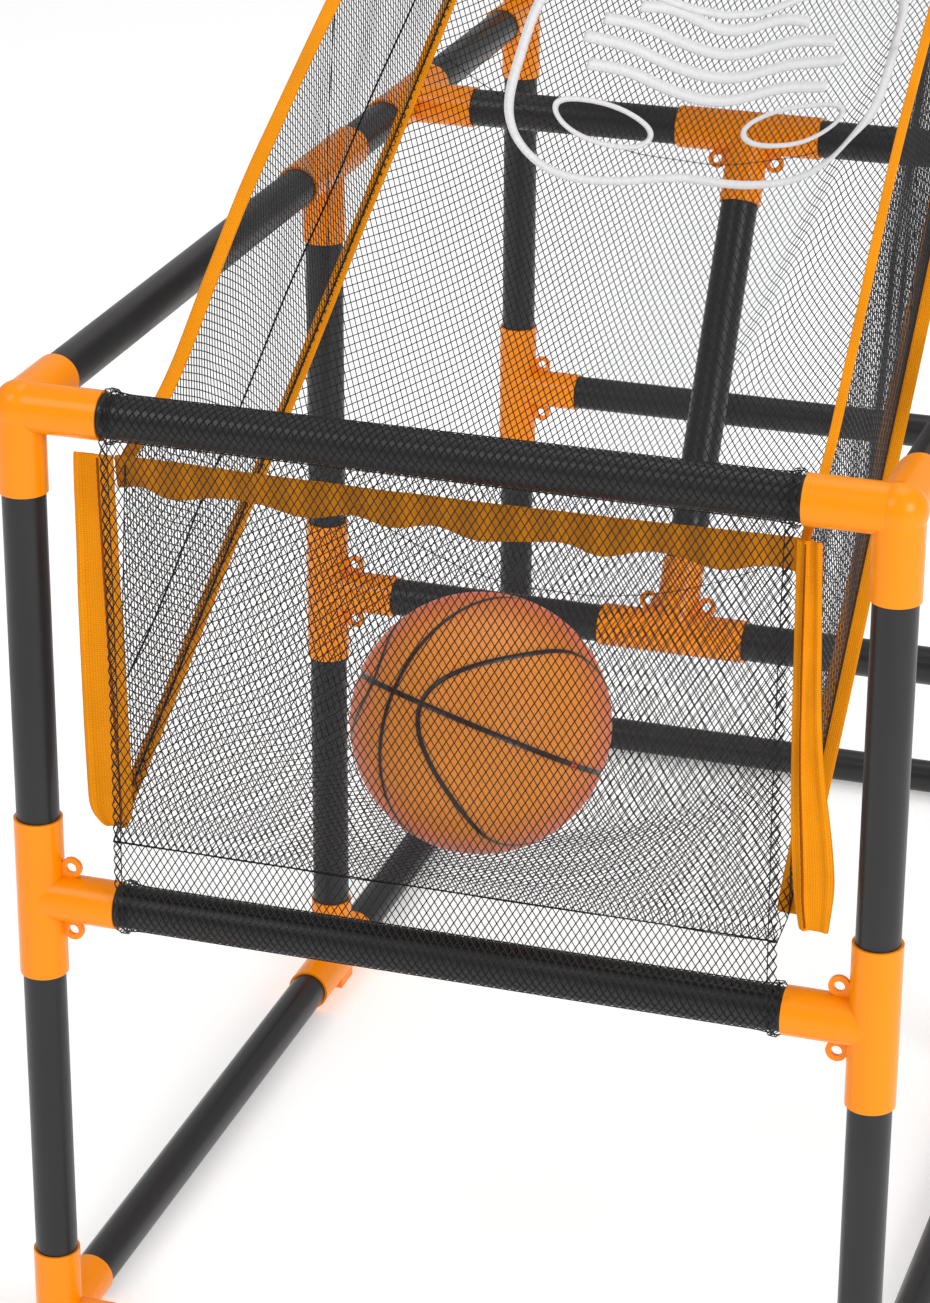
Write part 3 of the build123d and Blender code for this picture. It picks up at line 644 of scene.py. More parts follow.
def repeat(bm, step, count):
    """Copies all of a bmesh along one step until there are count of it, or a few more."""
    made = 1
    while made < count:
        copy_by(bm, everything(bm), step * made)
        made *= 2


def cut(bm, point, outward):
    """Cuts away what lies beyond a plane."""
    bmesh.ops.bisect_plane(
        bm, geom=everything(bm), dist=1e-7, plane_co=point, plane_no=outward, clear_outer=True
    )


SPARE_CELLS = 1.6           # rows and columns laid past a panel's far edges before they are cut
WELD_SHARE = 0.05           # corners nearer than this share of a cell are one


def net_cells(low, high):
    """Flat four-sided cells that cover a rectangle of the x-y plane."""
    net = settings().net
    bm = bmesh.new()
    bmesh.ops.create_circle(bm, cap_ends=True, segments=4, radius=1)
    bmesh.ops.scale(bm, vec=(net.cell / 2, net.rise, 1), verts=bm.verts)
    bmesh.ops.translate(bm, verts=bm.verts, vec=(low[0], low[1], 0))
    copy_by(bm, everything(bm), (net.cell / 2, net.rise, 0))
    repeat(bm, Vector((net.cell, 0, 0)), (high[0] - low[0]) / net.cell + SPARE_CELLS)
    cut(bm, (high[0] + net.cell, 0, 0), (1, 0, 0))
    repeat(bm, Vector((0, 2 * net.rise, 0)), (high[1] - low[1]) / (2 * net.rise) + SPARE_CELLS)
    bmesh.ops.remove_doubles(bm, verts=bm.verts, dist=net.cell * WELD_SHARE)
    for point, outward in ((low, (-1, 0, 0)), (low, (0, -1, 0)), (high, (1, 0, 0)), (high, (0, 1, 0))):
        cut(bm, (point[0], point[1], 0), outward)
    return bm


def lay(bm, place):
    """Moves each corner of a flat sheet to its place on the machine."""
    for corner in bm.verts:
        corner.co = place(corner.co.x, corner.co.y)


def thread_cells(bm, thickness):
    """Turns the cells' outlines into thread or cord."""
    bm.normal_update()
    bmesh.ops.wireframe(
        bm, faces=bm.faces[:], thickness=thickness, use_replace=True, use_boundary=True, use_even_offset=True
    )


def net_piece(bm, name, stands_for):
    thread = settings().net.thread
    bmesh.ops.remove_doubles(bm, verts=bm.verts, dist=thread * 0.6)
    bmesh.ops.dissolve_degenerate(bm, dist=thread * 0.3, edges=bm.edges)
    thread_cells(bm, thread)
    return finish_piece(bm, name, mesh_thread(), stands_for, smooth=False)


def soften(piece, levels):
    smooth = piece.modifiers.new("Smooth", "SUBSURF")
    smooth.levels = smooth.render_levels = levels


def strip(name, place, width, length, cells, material, stands_for=(), thick=None, levels=1):
    """A cloth strip: place(u, v) gives points over its width and length; its map is in metres."""
    bm = bmesh.new()
    layer = bm.loops.layers.uv.new("UVMap")
    across, along = cells
    bmesh.ops.create_grid(bm, x_segments=across, y_segments=along, size=0.5, calc_uvs=True)
    for face in bm.faces:
        for loop in face.loops:
            loop[layer].uv = ((loop.vert.co.x + 0.5) * width, (loop.vert.co.y + 0.5) * length)
    lay(bm, lambda x, y: place(x + 0.5, y + 0.5))
    piece = finish_piece(bm, name, material, stands_for)
    wall = piece.modifiers.new("Thickness", "SOLIDIFY")
    wall.thickness = thick or settings().binding.thickness
    wall.offset = 0
    wall.use_rim = True
    if levels:
        soften(piece, levels)
    return piece


def tape_strip(name, place, width, length, cells, stands_for, thick=None):
    return strip(name, place, width, length, cells, orange_tape(), stands_for, thick=thick)


def mix(a, b, t):
    return a * (1 - t) + b * t


def curve_through(stations, t):
    """A smooth curve's value at t through (t, value) stations."""
    last = len(stations) - 1
    i = max(0, min(last - 1, sum(1 for s in stations if s[0] <= t) - 1))

    def slope(k):
        a, b = stations[max(0, k - 1)], stations[min(last, k + 1)]
        return (b[1] - a[1]) / (b[0] - a[0])

    (t0, v0), (t1, v1) = stations[i], stations[i + 1]
    span = t1 - t0
    k = (t - t0) / span
    k2, k3 = k * k, k * k * k
    rise = (2 * k3 - 3 * k2 + 1) * v0 + (3 * k2 - 2 * k3) * v1
    return rise + span * ((k3 - 2 * k2 + k) * slope(i) + (k3 - k2) * slope(i + 1))


def floor_edge(t, side):
    """The line where the chute's floor meets its side net."""
    y, z = mix(MOUTH_Y, CHUTE_REAR_Y, t), mix(MOUTH_FLOOR_Z, REAR_FLOOR_Z, t)
    return Vector((side * mix(FRONT_HALF, REAR_HALF, t), y, z))


def top_edge(t, side):
    """The upper edge of a side net."""
    y, z = mix(MOUTH_Y, CHUTE_REAR_Y, t), mix(MOUTH_TOP_Z, REAR_TOP_Z, t)
    rise = curve_through(UPPER_EDGE_WAVE, min(t, 1)) * MM
    return Vector((side * mix(MOUTH_TOP_HALF[side], REAR_HALF, t), y, z + rise))


def bump_at(x, middle, width):
    return math.exp(-(((x - middle) / width) ** 2))


def ramp(value, span):
    """Rises from 0 to 1 over a span and stays there."""
    return min(1.0, max(0.0, value / span))


CREASE_WIDTH = 0.055


def floor_height(t, u):
    """Loose waves and the long crease of the chute floor, zero at its edges and by the ball."""
    net = settings().net
    away = ramp(t - 0.16, 0.12) * ramp(1 - t, 0.06)
    waves = noise.noise(Vector((u * 2.2, t * 5.0, 3.0))) + 0.5 * noise.noise(Vector((u * 5.0, t * 9.0, 8.0)))
    crease = bump_at(u, 0.42 + 1.3 * (t - 0.4) + 0.02 * math.sin(14 * t), CREASE_WIDTH)
    crease *= ramp(t - 0.34, 0.06) * ramp(0.72 - t, 0.12)
    return away * (1 - u * u) * (net.ripple * 1.6 * waves + net.crease * crease)


FLOOR_SLEEVE_R = SLEEVE_R + 0.0004


def floor_place(x, s):
    """A point of the chute floor: x across the flat cut, s along it from the mouth."""
    t = max(0.0, min(1.0, s / RUN_LENGTH))
    half = FRONT_HALF + (REAR_HALF - FRONT_HALF) * t - EDGE_INSET
    u = x / half
    left, right = floor_edge(t, -1), floor_edge(t, 1)
    left.x += EDGE_INSET
    right.x -= EDGE_INSET
    point = left.lerp(right, (u + 1) / 2)
    point.z += -curve_through(SAG_STATIONS, t) * MM * (1 - u * u) + floor_height(t, u)
    if s < 0:
        seam = Vector((u * (NET_HALF - 0.0012), RAIL.y - SLEEVE_R + 0.0005, SEAM_Z))
        return point.lerp(seam, min(1.0, -s / LIP))
    if s > RUN_LENGTH:
        sleeve = FLOOR_SLEEVE_R
        over = (s - RUN_LENGTH) / LAP
        top = Vector((point.x, NET_BAR.y, NET_BAR.z + sleeve))
        if over <= 1:
            return point.lerp(top, over)
        angle = (s - RUN_LENGTH - LAP) / sleeve
        y, z = NET_BAR.y + sleeve * math.sin(angle), NET_BAR.z + sleeve * math.cos(angle)
        return Vector((point.x, y, z))
    return point


# ---------------------------------------------------------------- operators
class HOOP_OT_tubes(bpy.types.Operator):
    """Coats the frame's tubes"""
    bl_idname = "hoop_machine.tubes"
    bl_label = "Tube coat"

    def execute(self, context):
        nodes = [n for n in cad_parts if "posts_" in n or "_rails_" in n or "post_ends" in n]
        nodes = [n for n in nodes if not n.startswith("tee")]
        bars = ("front_bar", "rear_bar", "mid_bars", "support_bars")
        nodes += [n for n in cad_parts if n.startswith(bars)]
        repaint(nodes + ["net_bar", "board_bar", "top_bar", "strut"], tube_coat())
        return {"FINISHED"}


class HOOP_OT_connectors(bpy.types.Operator):
    """Gives the moulded connectors and caps their plastic"""
    bl_idname = "hoop_machine.connectors"
    bl_label = "Connector plastic"

    def execute(self, context):
        nodes = [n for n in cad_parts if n.startswith(("tee", "corner_front", "corners_floor"))]
        repaint(nodes + ["post_caps"], connector_plastic())
        return {"FINISHED"}


class HOOP_OT_fasteners(bpy.types.Operator):
    """Finishes the bolts, nuts and spacers"""
    bl_idname = "hoop_machine.fasteners"
    bl_label = "Bolts and spacers"

    def execute(self, context):
        repaint(["board_bolts", "hoop_bolts"], zinc_steel())
        repaint(["board_spacers"], spacer_plastic())
        return {"FINISHED"}


class HOOP_OT_front_net(bpy.types.Operator):
    """Mesh panel in front of the mouth, with a sleeve round each front bar"""
    bl_idname = "hoop_machine.front_net"
    bl_label = "Front net"

    def execute(self, context):
        turn = math.radians(300)
        arc = SLEEVE_R * turn
        panel = RAIL.z - LOWER.z
        fold, fold_gap, fold_shift = 0.0045, 0.0011, 0.0004

        def place(x, s):
            under = 0.0
            if abs(x) > NET_HALF:
                under = fold_gap
                x = math.copysign(2 * NET_HALF - abs(x) - fold_shift, x)
            flare = 1 + noise.noise(Vector((x * 90, s * 60, 1)))
            loose = 1 + 0.10 * max(0.0, abs(x) / NET_HALF - 0.93) / 0.07 * flare
            if s < arc:
                angle, height = turn - s / SLEEVE_R, RAIL.z
            elif s > arc + panel:
                angle, height = -(s - arc - panel) / SLEEVE_R, LOWER.z
            else:
                ruffle = max(0.0, abs(x) / NET_HALF - 0.8) / 0.2
                bow = math.sin(math.pi * (s - arc) / panel)
                sway = 0.0012 * ruffle * noise.noise(Vector((x * 14, s * 26, 5)))
                narrow = 1 - 0.006 * bow
                y = RAIL.y - SLEEVE_R - abs(sway) * bow - under
                return Vector((x * narrow, y, RAIL.z - (s - arc)))
            r = SLEEVE_R * loose + under
            fray = 0.0015 * ((abs(x) / NET_HALF) ** 8) * noise.noise(Vector((s * 150, 2 + x, 7)))
            y, z = RAIL.y - r * math.cos(angle), height + r * math.sin(angle)
            return Vector((x + math.copysign(fray, x), y, z))

        seam = arc + RAIL.z - SEAM_Z
        end = 2 * arc + panel
        for name, start, stop in (("front_net_upper", 0, seam), ("front_net_lower", seam, end)):
            bm = net_cells((-NET_HALF - fold, start), (NET_HALF + fold, stop))
            lay(bm, place)
            piece = net_piece(bm, name, ["front_net"])
        return {"FINISHED"}


class HOOP_OT_chute_floor(bpy.types.Operator):
    """Sagging mesh floor of the chute, in four panels, with its sleeve on the rear bar"""
    bl_idname = "hoop_machine.chute_floor"
    bl_label = "Chute floor"

    def execute(self, context):
        wrap = FLOOR_SLEEVE_R * math.radians(250)
        row = 2 * settings().net.rise
        joins = [row * round(share * RUN_LENGTH / row) - LIP for share in (0.26, 0.56, 0.8)]
        stops = [-LIP] + joins + [RUN_LENGTH + LAP + wrap]
        for part, start, stop in zip(("pocket", "front", "middle", "rear"), stops, stops[1:]):
            name = "chute_floor_" + part
            half = FRONT_HALF - EDGE_INSET
            bm = net_cells((-half, start), (half, stop))
            slant = Vector((RUN_LENGTH, FRONT_HALF - REAR_HALF, 0)).normalized()
            for side in SIDES.values():
                cut(bm, (side * half, 0, 0), (side * slant.x, slant.y, 0))
                if stop > RUN_LENGTH:
                    cut(bm, (side * (REAR_HALF - EDGE_INSET), 0, 0), (side, 0, 0))
            lay(bm, floor_place)
            piece = net_piece(bm, name, ["chute_floor_net"])
            taper = REAR_HALF - FRONT_HALF
            widths = [2 * (FRONT_HALF + taper * ramp(s, RUN_LENGTH)) for s in (start, stop)]
        return {"FINISHED"}


class HOOP_OT_side_nets(bpy.types.Operator):
    """Upright mesh walls of the chute, each in two panels"""
    bl_idname = "hoop_machine.side_nets"
    bl_label = "Side nets"

    def execute(self, context):
        ripple = settings().net.ripple
        way = RUN_WAY.normalized()
        gap = 0.0005
        tall = (MOUTH_TOP_Z - MOUTH_FLOOR_Z) * way.y + 0.01
        reach = (MOUTH_TOP_Z - MOUTH_FLOOR_Z) * way.z
        stretch = {-1: 1.25, 1: 2.2}        # the right net is pulled tighter upright
        lines = []
        for front_z, rear_z, outward, shift in (
            (MOUTH_FLOOR_Z, REAR_FLOOR_Z, -1, gap), (MOUTH_TOP_Z, REAR_TOP_Z, 1, -gap)
        ):
            normal = Vector((front_z - rear_z, CHUTE_REAR_Y - MOUTH_Y, 0)).normalized() * outward
            lines.append((Vector((MOUTH_Y, front_z + shift, 0)), normal))
        middle = (MOUTH_Y + CHUTE_REAR_Y) / 2 - 0.12
        spans = (("front", MOUTH_Y + 0.0012, middle), ("rear", middle, CHUTE_REAR_Y))
        for side_name, side in SIDES.items():
            for part, y_low, y_high in spans:
                bm = net_cells((0, 0), (RUN_LENGTH + reach, tall / stretch[side]))
                for corner in bm.verts:
                    a, b = corner.co.x, corner.co.y * stretch[side]
                    corner.co = (MOUTH_Y + a * way.y - b * way.z, MOUTH_FLOOR_Z + a * way.z + b * way.y, 0)
                for point, normal in lines + [
                    (Vector((y_low, 0, 0)), Vector((-1, 0, 0))), (Vector((y_high, 0, 0)), Vector((1, 0, 0)))
                ]:
                    cut(bm, point, normal)

                def place(y, z, side=side):
                    t = (y - MOUTH_Y) / (CHUTE_REAR_Y - MOUTH_Y)
                    foot, straight = floor_edge(t, side), mix(MOUTH_TOP_Z, REAR_TOP_Z, t)
                    k = ramp(z - foot.z, straight - foot.z)
                    on_net = foot.lerp(top_edge(t, side), k)
                    belly = math.sin(math.pi * k) * min(1.0, t / 0.08)
                    waves = noise.noise(Vector((t * 7, k * 1.5, 11 + side)))
                    waves += 0.4 * noise.noise(Vector((t * 19, k * 3, 5 * side)))
                    on_net.x += side * belly * (0.0008 + ripple * waves * 1.2)
                    return on_net

                lay(bm, place)
                piece = net_piece(bm, f"side_net_{side_name}_{part}", [f"side_net_{side_name}"])
                share = [(y - MOUTH_Y) / (CHUTE_REAR_Y - MOUTH_Y) for y in (y_low, y_high)]
                heights = [mix(MOUTH_TOP_Z - MOUTH_FLOOR_Z, REAR_TOP_Z - REAR_FLOOR_Z, t) for t in share]
        return {"FINISHED"}


OVERRUN = 0.0045            # flaps and hem past the mouth's corners

# Inner and outer edge of each flap: (share of its height, mm from the middle plane).
FLAP_EDGES = {
    -1: (
        [(0, 167.5), (0.05, 163.8), (0.5, 165.5), (1, 168.0)],
        [(0, 179.0), (0.03, 185.0), (0.08, 187.2), (1, 188.6)],
    ),
    1: (
        [(0, 177.5), (0.1, 174.0), (0.35, 171.0), (1, 168.8)],
        [(0, 192.0), (0.15, 194.0), (0.5, 185.5), (1, 181.0)],
    ),
}


class HOOP_OT_bindings(bpy.types.Operator):
    """Orange tapes along the chute's edges and the upright flaps at its mouth"""
    bl_idname = "hoop_machine.bindings"
    bl_label = "Tapes and flaps"

    def execute(self, context):
        binding = settings().binding
        # Share of each tape's width that lies open: the left side's are rolled over.
        shown = {"lower": {-1: 0.6, 1: 1.0}, "upper": {-1: 1.6, 1: 1.0}}
        for side_name, side in SIDES.items():
            stands_for = [f"chute_tape_{side_name}"]
            for level, edge, width, lift, thick in (
                ("lower", floor_edge, binding.lower_width, -TAPE_DROP, binding.thickness),
                ("upper", top_edge, binding.upper_width, 0.0009, 2 * binding.thickness),
            ):
                width *= shown[level][side]
                length = (edge(1, side) - edge(0, side)).length

                def tape(u, v, edge=edge, side=side, width=width, lift=lift):
                    point = edge(0.004 + v * 0.996, side)
                    roll = 0.0009 * noise.noise(Vector((v * 16, u, side * 3 + 5)))
                    point.x += (u - 0.5) * width + 0.0006 * noise.noise(Vector((v * 9, 4, side)))
                    point.z += roll + lift
                    return point

                tape_strip(f"chute_tape_{level}_{side_name}", tape, width, length, (4, 90), stands_for, thick)
            tall = MOUTH_TOP_Z - MOUTH_FLOOR_Z + 2 * OVERRUN

            def flap(u, v, side=side):
                low, high = [curve_through(line, v) * MM for line in FLAP_EDGES[side]]
                bow = 0.0022 * math.sin(math.pi * v) * (0.4 + u)
                bow += 0.0012 * noise.noise(Vector((u * 3, v * 6, side * 2)))
                fold = 0.0016 * bump_at(u, 0.88, 0.1) + 0.0016 * bump_at(u, 0.2 + 0.2 * v, 0.09)
                z = MOUTH_FLOOR_Z - OVERRUN + v * tall + 0.0008 * noise.noise(Vector((u * 4, 9, side)))
                return Vector((side * mix(low, high, u), MOUTH_Y - 0.0006 - fold - bow * 0.6, z))

            tape_strip(f"mouth_flap_{side_name}", flap, binding.flap_width, tall, (20, 60), stands_for)

            def stitches(u, v, flap=flap):
                along = 0.01 + 0.98 * u
                seam = flap(0.24 + 0.14 * along + 0.05 * (v - 0.5), along)
                seam.y -= 0.0006 + 0.0002 * math.sin(2 * math.pi * 48 * u)
                return seam

            strip(
                f"flap_stitches_{side_name}", stitches, tall, 0.0009, (190, 1), stitch_thread(),
                thick=0.0005, levels=0,
            )
        return {"FINISHED"}


class HOOP_OT_hem(bpy.types.Operator):
    """Gathered orange band under the top bar, behind the front net"""
    bl_idname = "hoop_machine.hem"
    bl_label = "Front hem"

    def execute(self, context):
        height = settings().binding.hem_height
        start, stop = -0.1685, 0.1725
        top = MOUTH_TOP_Z + OVERRUN

        def place(u, v):
            x = mix(start, stop, u)
            wave = math.sin(2 * math.pi * (6.6 * u + 0.35 * noise.noise(Vector((u * 5, 1, 0)))))
            loose = noise.noise(Vector((u * 14, v * 1.5, 4)))
            hang = v * (height - 0.0022 * (0.5 + 0.5 * wave) - 0.0012 * loose)
            y = MOUTH_Y + 0.0012 + 0.006 * v ** 1.5 * (0.5 + 0.5 * wave) + 0.0008 * loose
            return Vector((x, y, top - hang - 0.0016 * math.sin(math.pi * u)))

        piece = tape_strip("front_hem_band", place, height, stop - start, (70, 8), ["front_hem"])
        return {"FINISHED"}


class HOOP_OT_seams(bpy.types.Operator):
    """Sewn black seams of the nets"""
    bl_idname = "hoop_machine.seams"
    bl_label = "Net seams"

    def execute(self, context):
        front_y = RAIL.y - SLEEVE_R

        def floor_seam(u, v):
            x = (2 * u - 1) * (NET_HALF - 0.002)
            z = SEAM_Z + 0.0006 * (v - 0.5) + 0.0012 * noise.noise(Vector((u * 7, 0, 2)))
            return Vector((x, front_y - 0.0003, z))

        def wall_seam(u, v):
            t = 0.01 + 0.97 * u
            point = floor_edge(t, -1).lerp(top_edge(t, -1), 0.36)
            point.z += 0.0024 * (v - 0.5)
            point.x += 0.0004 * math.sin(40 * u) - 0.0006
            return point

        for name, place, length, width, thick in (
            ("floor_seam", floor_seam, 2 * NET_HALF, 0.0012, 0.0004),
            ("wall_seam_left", wall_seam, RUN_LENGTH, 0.0024, 0.0007),
        ):
            strip(name, place, length, width, (120, 1), black_tape(), thick=thick)
        return {"FINISHED"}


class HOOP_OT_print(bpy.types.Operator):
    """Plain white print on the chute floor: a waisted outline round two ovals and four waves"""
    bl_idname = "hoop_machine.print"
    bl_label = "Floor print"

    def execute(self, context):
        width = settings().binding.print_width
        middle_x, middle_s = -0.002, 0.567
        lift = 0.0006

        half_x, half_y, waist, waist_width, tilt = 0.106, 0.071, 0.0155, 0.045, 0.094

        def outer(angle):
            across, up = math.cos(angle), math.sin(angle)
            x = half_x * math.copysign(abs(across) ** 0.5, across)
            y = half_y * math.copysign(abs(up) ** 0.5, up)
            y -= waist * math.copysign(bump_at(x, 0, waist_width), up)
            return Vector((x, y + tilt * x))

        def printed(name, place, length, band, cells):
            strip(name, place, length, band, (cells, 1), printed_ink(), thick=0.0003, levels=0)

        def loop(name, outline, band):
            def place(u, v):
                angle = 2 * math.pi * u
                a, b = outline(angle), outline(angle + 0.01)
                across = Vector((b.y - a.y, a.x - b.x)).normalized() * band * (v - 0.5)
                point = floor_place(middle_x + a.x + across.x, middle_s + a.y + across.y)
                return point + UP * lift

            printed(name, place, 0.5, band, 220)

        def oval(middle, half):
            return lambda angle: middle + Vector((half.x * math.cos(angle), half.y * math.sin(angle)))

        loop("print_outline", outer, width)
        for name, middle in (("left", Vector((-0.052, -0.032))), ("right", Vector((0.056, -0.022)))):
            loop("print_oval_" + name, oval(middle, Vector((0.028, 0.013))), width * 0.6)

        def wave(name, reach, level, band):
            def place(u, v):
                y = level + 0.004 * math.sin(3 * math.pi * u) + (v - 0.5) * band
                return floor_place(middle_x + mix(-reach, reach, u), middle_s + y) + UP * lift

            printed(name, place, 2 * reach, band, 60)

        for i, (reach, level) in enumerate(((0.07, 0.002), (0.076, 0.018), (0.068, 0.034), (0.05, 0.050))):
            wave(f"print_wave_{i + 1}", reach, level, 0.008)
        return {"FINISHED"}


class HOOP_OT_corner_ties(bpy.types.Operator):
    """Webbing loops that tie the chute's upper corners to the rear posts"""
    bl_idname = "hoop_machine.corner_ties"
    bl_label = "Corner ties"

    def execute(self, context):
        low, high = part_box("corner_ties")
        middle_z, tall = (low.z + high.z) / 2, high.z - low.z
        post_y = NET_BAR.y
        r = TUBE_R + 0.0009
        start_x = REAR_HALF + 0.002
        arm = POST_X - start_x
        turn = math.radians(275)
        total = arm + r * turn
        for side_name, side in SIDES.items():

            def place(u, v, side=side):
                s = v * total
                z = middle_z + (u - 0.5) * tall + 0.0005 * math.sin(9 * v + side)
                if s <= arm:
                    sway = 0.0007 * math.sin(math.pi * s / arm)
                    return Vector((side * (start_x + s), post_y - r - sway, z))
                angle = (s - arm) / r
                return Vector((side * (POST_X + r * math.sin(angle)), post_y - r * math.cos(angle), z))

            piece = tape_strip(f"corner_tie_{side_name}", place, tall, total, (6, 70), ["corner_ties"])
        return {"FINISHED"}


class HOOP_OT_backboard(bpy.types.Operator):
    """Prints the backboard's border and target"""
    bl_idname = "hoop_machine.backboard"
    bl_label = "Backboard"

    def execute(self, context):
        repaint(["backboard"], board_face())
        return {"FINISHED"}


class HOOP_OT_hoop(bpy.types.Operator):
    """Coats the hoop and adds the small wire hooks under its ring"""
    bl_idname = "hoop_machine.hoop"
    bl_label = "Hoop and hooks"

    def execute(self, context):
        repaint(["hoop"], ring_coat())
        loops = settings().hoop.loops
        hook_r, wire_r, drop = 0.0042, 0.0011, 0.0066
        bm = bmesh.new()
        for i in range(loops):
            angle = 2 * math.pi * i / loops
            out = Vector((math.sin(angle), -math.cos(angle), 0))
            seat = HOOP + out * RING_R - UP * drop
            start = seat + UP * hook_r
            across = out.cross(UP)
            verts = bmesh.ops.create_circle(bm, segments=10, radius=wire_r)["verts"]
            turned = Matrix.Translation(start) @ Matrix.Rotation(angle, 4, "Z")
            bmesh.ops.transform(bm, matrix=turned, verts=verts)
            edges = list({e for v in verts for e in v.link_edges})
            bmesh.ops.rotate(bm, verts=verts, cent=start, matrix=Matrix.Rotation(math.pi / 2, 3, across))
            bmesh.ops.spin(
                bm, geom=verts + edges, cent=seat, axis=across.normalized(),
                angle=2 * math.pi, steps=18, use_merge=True,
            )
        bmesh.ops.remove_doubles(bm, verts=bm.verts, dist=0.00005)
        bmesh.ops.recalc_face_normals(bm, faces=bm.faces)
        finish_piece(bm, "net_hooks", ring_coat())
        return {"FINISHED"}


class HOOP_OT_hoop_net(bpy.types.Operator):
    """Knotted cord net that hangs from the ring"""
    bl_idname = "hoop_machine.hoop_net"
    bl_label = "Hoop net"

    def execute(self, context):
        hoop = settings().hoop
        wide = 2 * math.pi / hoop.loops
        levels = hoop.rows + 1
        bm = bmesh.new()
        made = bmesh.ops.create_circle(bm, cap_ends=True, segments=4, radius=1)
        bmesh.ops.scale(bm, vec=(wide / 2, 1, 1), verts=made["verts"])
        bmesh.ops.bisect_edges(bm, edges=bm.edges[:], cuts=5)
        first = everything(bm)
        for row in range(1, hoop.rows):
            copy_by(bm, first, (wide / 2 * (row % 2), row, 0))
        whole = everything(bm)
        for i in range(1, hoop.loops):
            copy_by(bm, whole, (wide * i, 0, 0))
        top = HOOP.z - 0.0105           # where the cord passes through the hooks
        waist = 0.004

        def place(angle, row):
            k = (row + 1) / levels
            radius = mix(RING_R - 0.001, hoop.end_radius, k ** 0.8) - waist * math.sin(math.pi * k)
            knot = abs(math.sin(math.pi * row / 2 + math.pi / 2))
            droop = 0.0018 * (1 - knot) * math.sin(angle * 3)
            z = top - hoop.net_length * (0.93 * k + 0.07 * k * k) - abs(droop) * 0.5
            radius *= 1 + 0.012 * noise.noise(Vector((math.cos(angle) * 2, math.sin(angle) * 2, k * 3)))
            return HOOP + Vector((radius * math.sin(angle), -radius * math.cos(angle), z - HOOP.z))

        lay(bm, place)
        bmesh.ops.remove_doubles(bm, verts=bm.verts, dist=0.0004)
        thread_cells(bm, hoop.cord)
        piece = finish_piece(bm, "hoop_net_cord", hoop_cord(), ["hoop_net"])
        soften(piece, 1)

        bm = bmesh.new()
        squash = Matrix.Diagonal((1.15, 0.85, 1.1, 1))
        for level in range(levels + 1):
            for i in range(hoop.loops):
                angle = wide * (i + 0.5 * ((level + 1) % 2) + 0.5)
                made = bmesh.ops.create_icosphere(bm, subdivisions=2, radius=hoop.cord * 0.86)
                turned = Matrix.Translation(place(angle, level - 1)) @ Matrix.Rotation(angle, 4, "Z") @ squash
                bmesh.ops.transform(bm, matrix=turned, verts=made["verts"])
        knots = finish_piece(bm, "hoop_net_knots", hoop_cord())
        return {"FINISHED"}


class HOOP_OT_ball(bpy.types.Operator):
    """Ball with sunken seams, resting in the chute against the front net"""
    bl_idname = "hoop_machine.ball"
    bl_label = "Ball"

    def execute(self, context):
        ball = settings().ball
        width = ball.groove / BALL_R
        away = BALL_TURN.to_matrix()
        bm = bmesh.new()
        bmesh.ops.create_icosphere(bm, subdivisions=ball.bands, radius=1)
        for corner in bm.verts:
            nearest = min(seam_distances(corner.co.normalized()))
            sunk = ball.depth * max(0.0, 1 - (nearest / (1.5 * width)) ** 2) ** 1.5
            corner.co = BALL_CENTRE + away @ corner.co * (BALL_R - sunk)
        finish_piece(bm, "ball_skin", ball_rubber(), ["ball"], body="ball")
        out = away @ Vector((-0.9965, 0.0785, -0.003))
        valve_r, valve_height = 0.0030, 0.0009
        bm = bmesh.new()
        bmesh.ops.create_circle(bm, cap_ends=True, segments=20, radius=valve_r)
        raised = bmesh.ops.extrude_face_region(bm, geom=bm.faces[:])["geom"]
        top = corners_in(raised)
        bmesh.ops.translate(bm, verts=top, vec=(0, 0, valve_height))
        bmesh.ops.scale(bm, verts=top, vec=(0.8, 0.8, 1))
        cap = [f for f in bm.faces if all(v in top for v in f.verts)]
        bmesh.ops.inset_region(bm, faces=cap, thickness=0.0011, depth=-0.0005)
        seat = Matrix.Translation(BALL_CENTRE + out * (BALL_R - valve_height))
        facing = out.to_track_quat("Z", "Y").to_matrix().to_4x4()
        bmesh.ops.transform(bm, matrix=seat @ facing, verts=bm.verts)
        bmesh.ops.recalc_face_normals(bm, faces=bm.faces)
        finish_piece(bm, "ball_valve", valve_rubber(), body="ball")
        return {"FINISHED"}


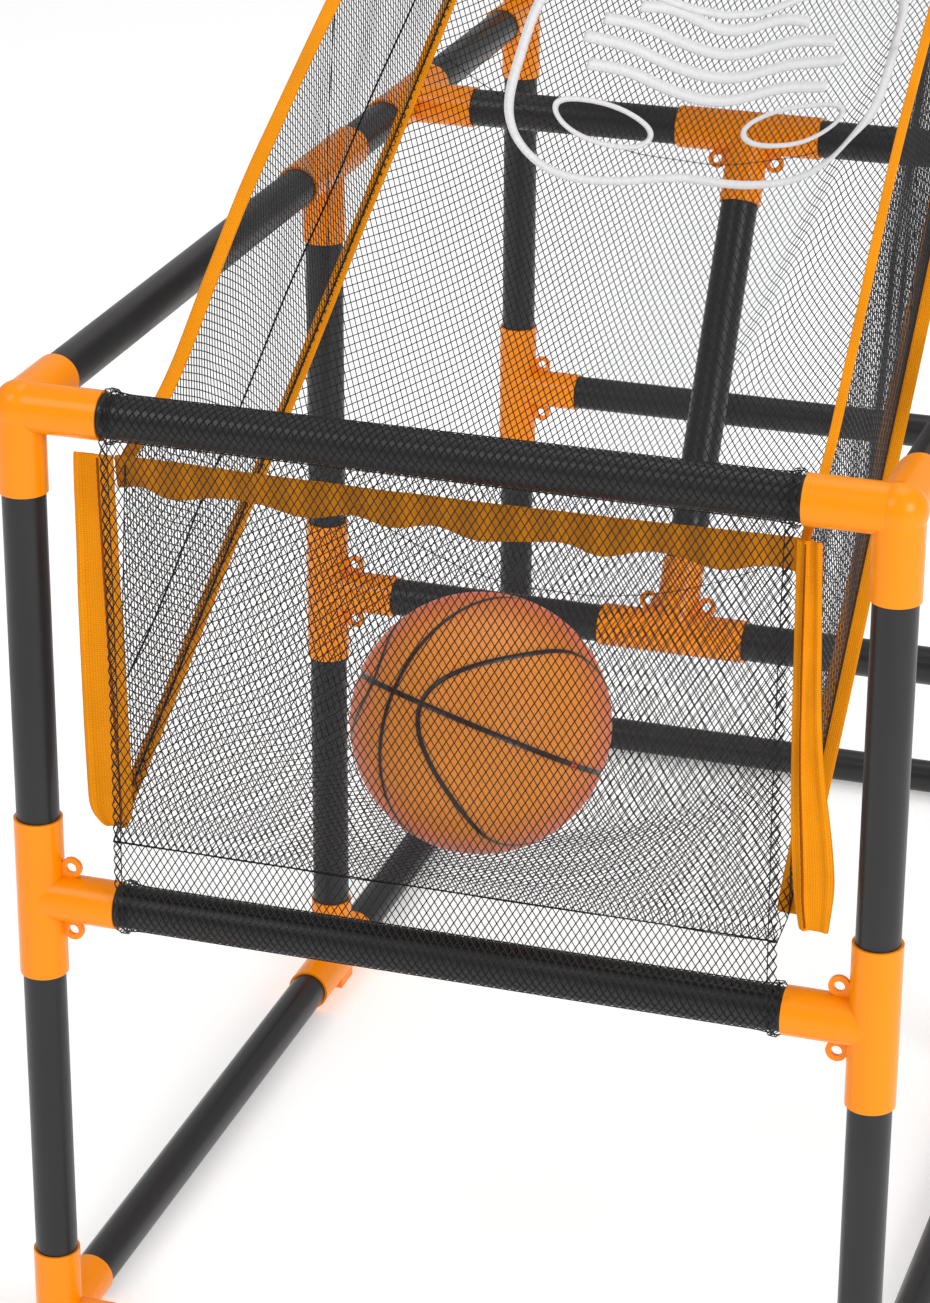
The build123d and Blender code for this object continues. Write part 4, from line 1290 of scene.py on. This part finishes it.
class HOOP_OT_stage(bpy.types.Operator):
    """Pale floor, soft lights and the camera"""
    bl_idname = "hoop_machine.stage"
    bl_label = "Stage"

    def execute(self, context):
        stage = settings().stage
        scene = context.scene
        bm = bmesh.new()
        bmesh.ops.create_grid(bm, x_segments=2, y_segments=2, size=stage.floor_size)
        add_mesh(bm, "studio_floor", floor_surface())

        world = bpy.data.worlds.new("studio")
        world.use_nodes = True
        sky = world.node_tree.nodes["Background"].inputs
        sky["Color"].default_value = (1, 1, 1, 1)
        sky["Strength"].default_value = stage.sky
        scene.world = world
        scene.view_settings.view_transform = "Standard"

        aim = Vector((0, 0, 0.6))
        lamps = (       # name, place, side in metres, watts
            ("left_light", (-1.5, -2.3, 2.9), 1.5, 22),
            ("right_light", (2.4, -1.9, 1.9), 1.5, 45),
            ("top_light", (0.2, 0.6, 3.6), 2.2, 27),
        )
        for name, at, size, power in lamps:
            lamp = bpy.data.lights.new(name, "AREA")
            lamp.size = size
            lamp.energy = power * stage.light
            made = add_object(name, lamp)
            made.location = at
            made.rotation_euler = (aim - Vector(at)).to_track_quat("-Z", "Y").to_euler()

        eye = (0.53593, -2.02957, 1.17169)
        yaw, pitch, roll = 0.3134, 0.4090, -0.0042
        level = math.cos(pitch)
        ahead = Vector((-math.sin(yaw) * level, math.cos(yaw) * level, -math.sin(pitch)))
        side = Vector((math.cos(yaw), math.sin(yaw), 0))
        down = ahead.cross(side)
        right = side * math.cos(roll) + down * math.sin(roll)
        down = down * math.cos(roll) - side * math.sin(roll)
        lens = bpy.data.cameras.new("camera")
        lens.sensor_width = 36
        lens.lens = 108.04
        lens.clip_end = 120
        camera = add_object("camera", lens)
        turn = Matrix((right, -down, -ahead)).transposed().to_4x4()
        camera.matrix_world = Matrix.Translation(eye) @ turn
        scene.camera = camera
        return {"FINISHED"}


OPERATORS = (
    HOOP_OT_tubes, HOOP_OT_connectors, HOOP_OT_fasteners, HOOP_OT_backboard, HOOP_OT_hoop, HOOP_OT_hoop_net,
    HOOP_OT_ball, HOOP_OT_bindings, HOOP_OT_corner_ties, HOOP_OT_front_net, HOOP_OT_hem, HOOP_OT_chute_floor,
    HOOP_OT_side_nets, HOOP_OT_seams, HOOP_OT_print, HOOP_OT_stage,
)


class HOOP_PT_machine(bpy.types.Panel):
    """Sidebar list of the machine's pieces"""
    bl_label = "Hoop machine"
    bl_idname = "HOOP_PT_machine"
    bl_space_type = "VIEW_3D"
    bl_region_type = "UI"
    bl_category = "Hoop machine"

    def draw(self, context):
        for operator in OPERATORS:
            self.layout.operator(operator.bl_idname)


CLASSES = (
    NetSettings, BindingSettings, HoopSettings, BallSettings, FinishSettings, StageSettings, MachineSettings,
    *OPERATORS, HOOP_PT_machine,
)


def register():
    for made in CLASSES:
        bpy.utils.register_class(made)
    bpy.types.Scene.hoop_machine = PointerProperty(type=MachineSettings)


def unregister():
    del bpy.types.Scene.hoop_machine
    for made in reversed(CLASSES):
        bpy.utils.unregister_class(made)


def main():
    register()
    for operator in OPERATORS:
        group, name = operator.bl_idname.split(".")
        if getattr(getattr(bpy.ops, group), name)() != {"FINISHED"}:
            raise RuntimeError(f"{operator.bl_label} was not finished")


if __name__ == "__main__":
    main()
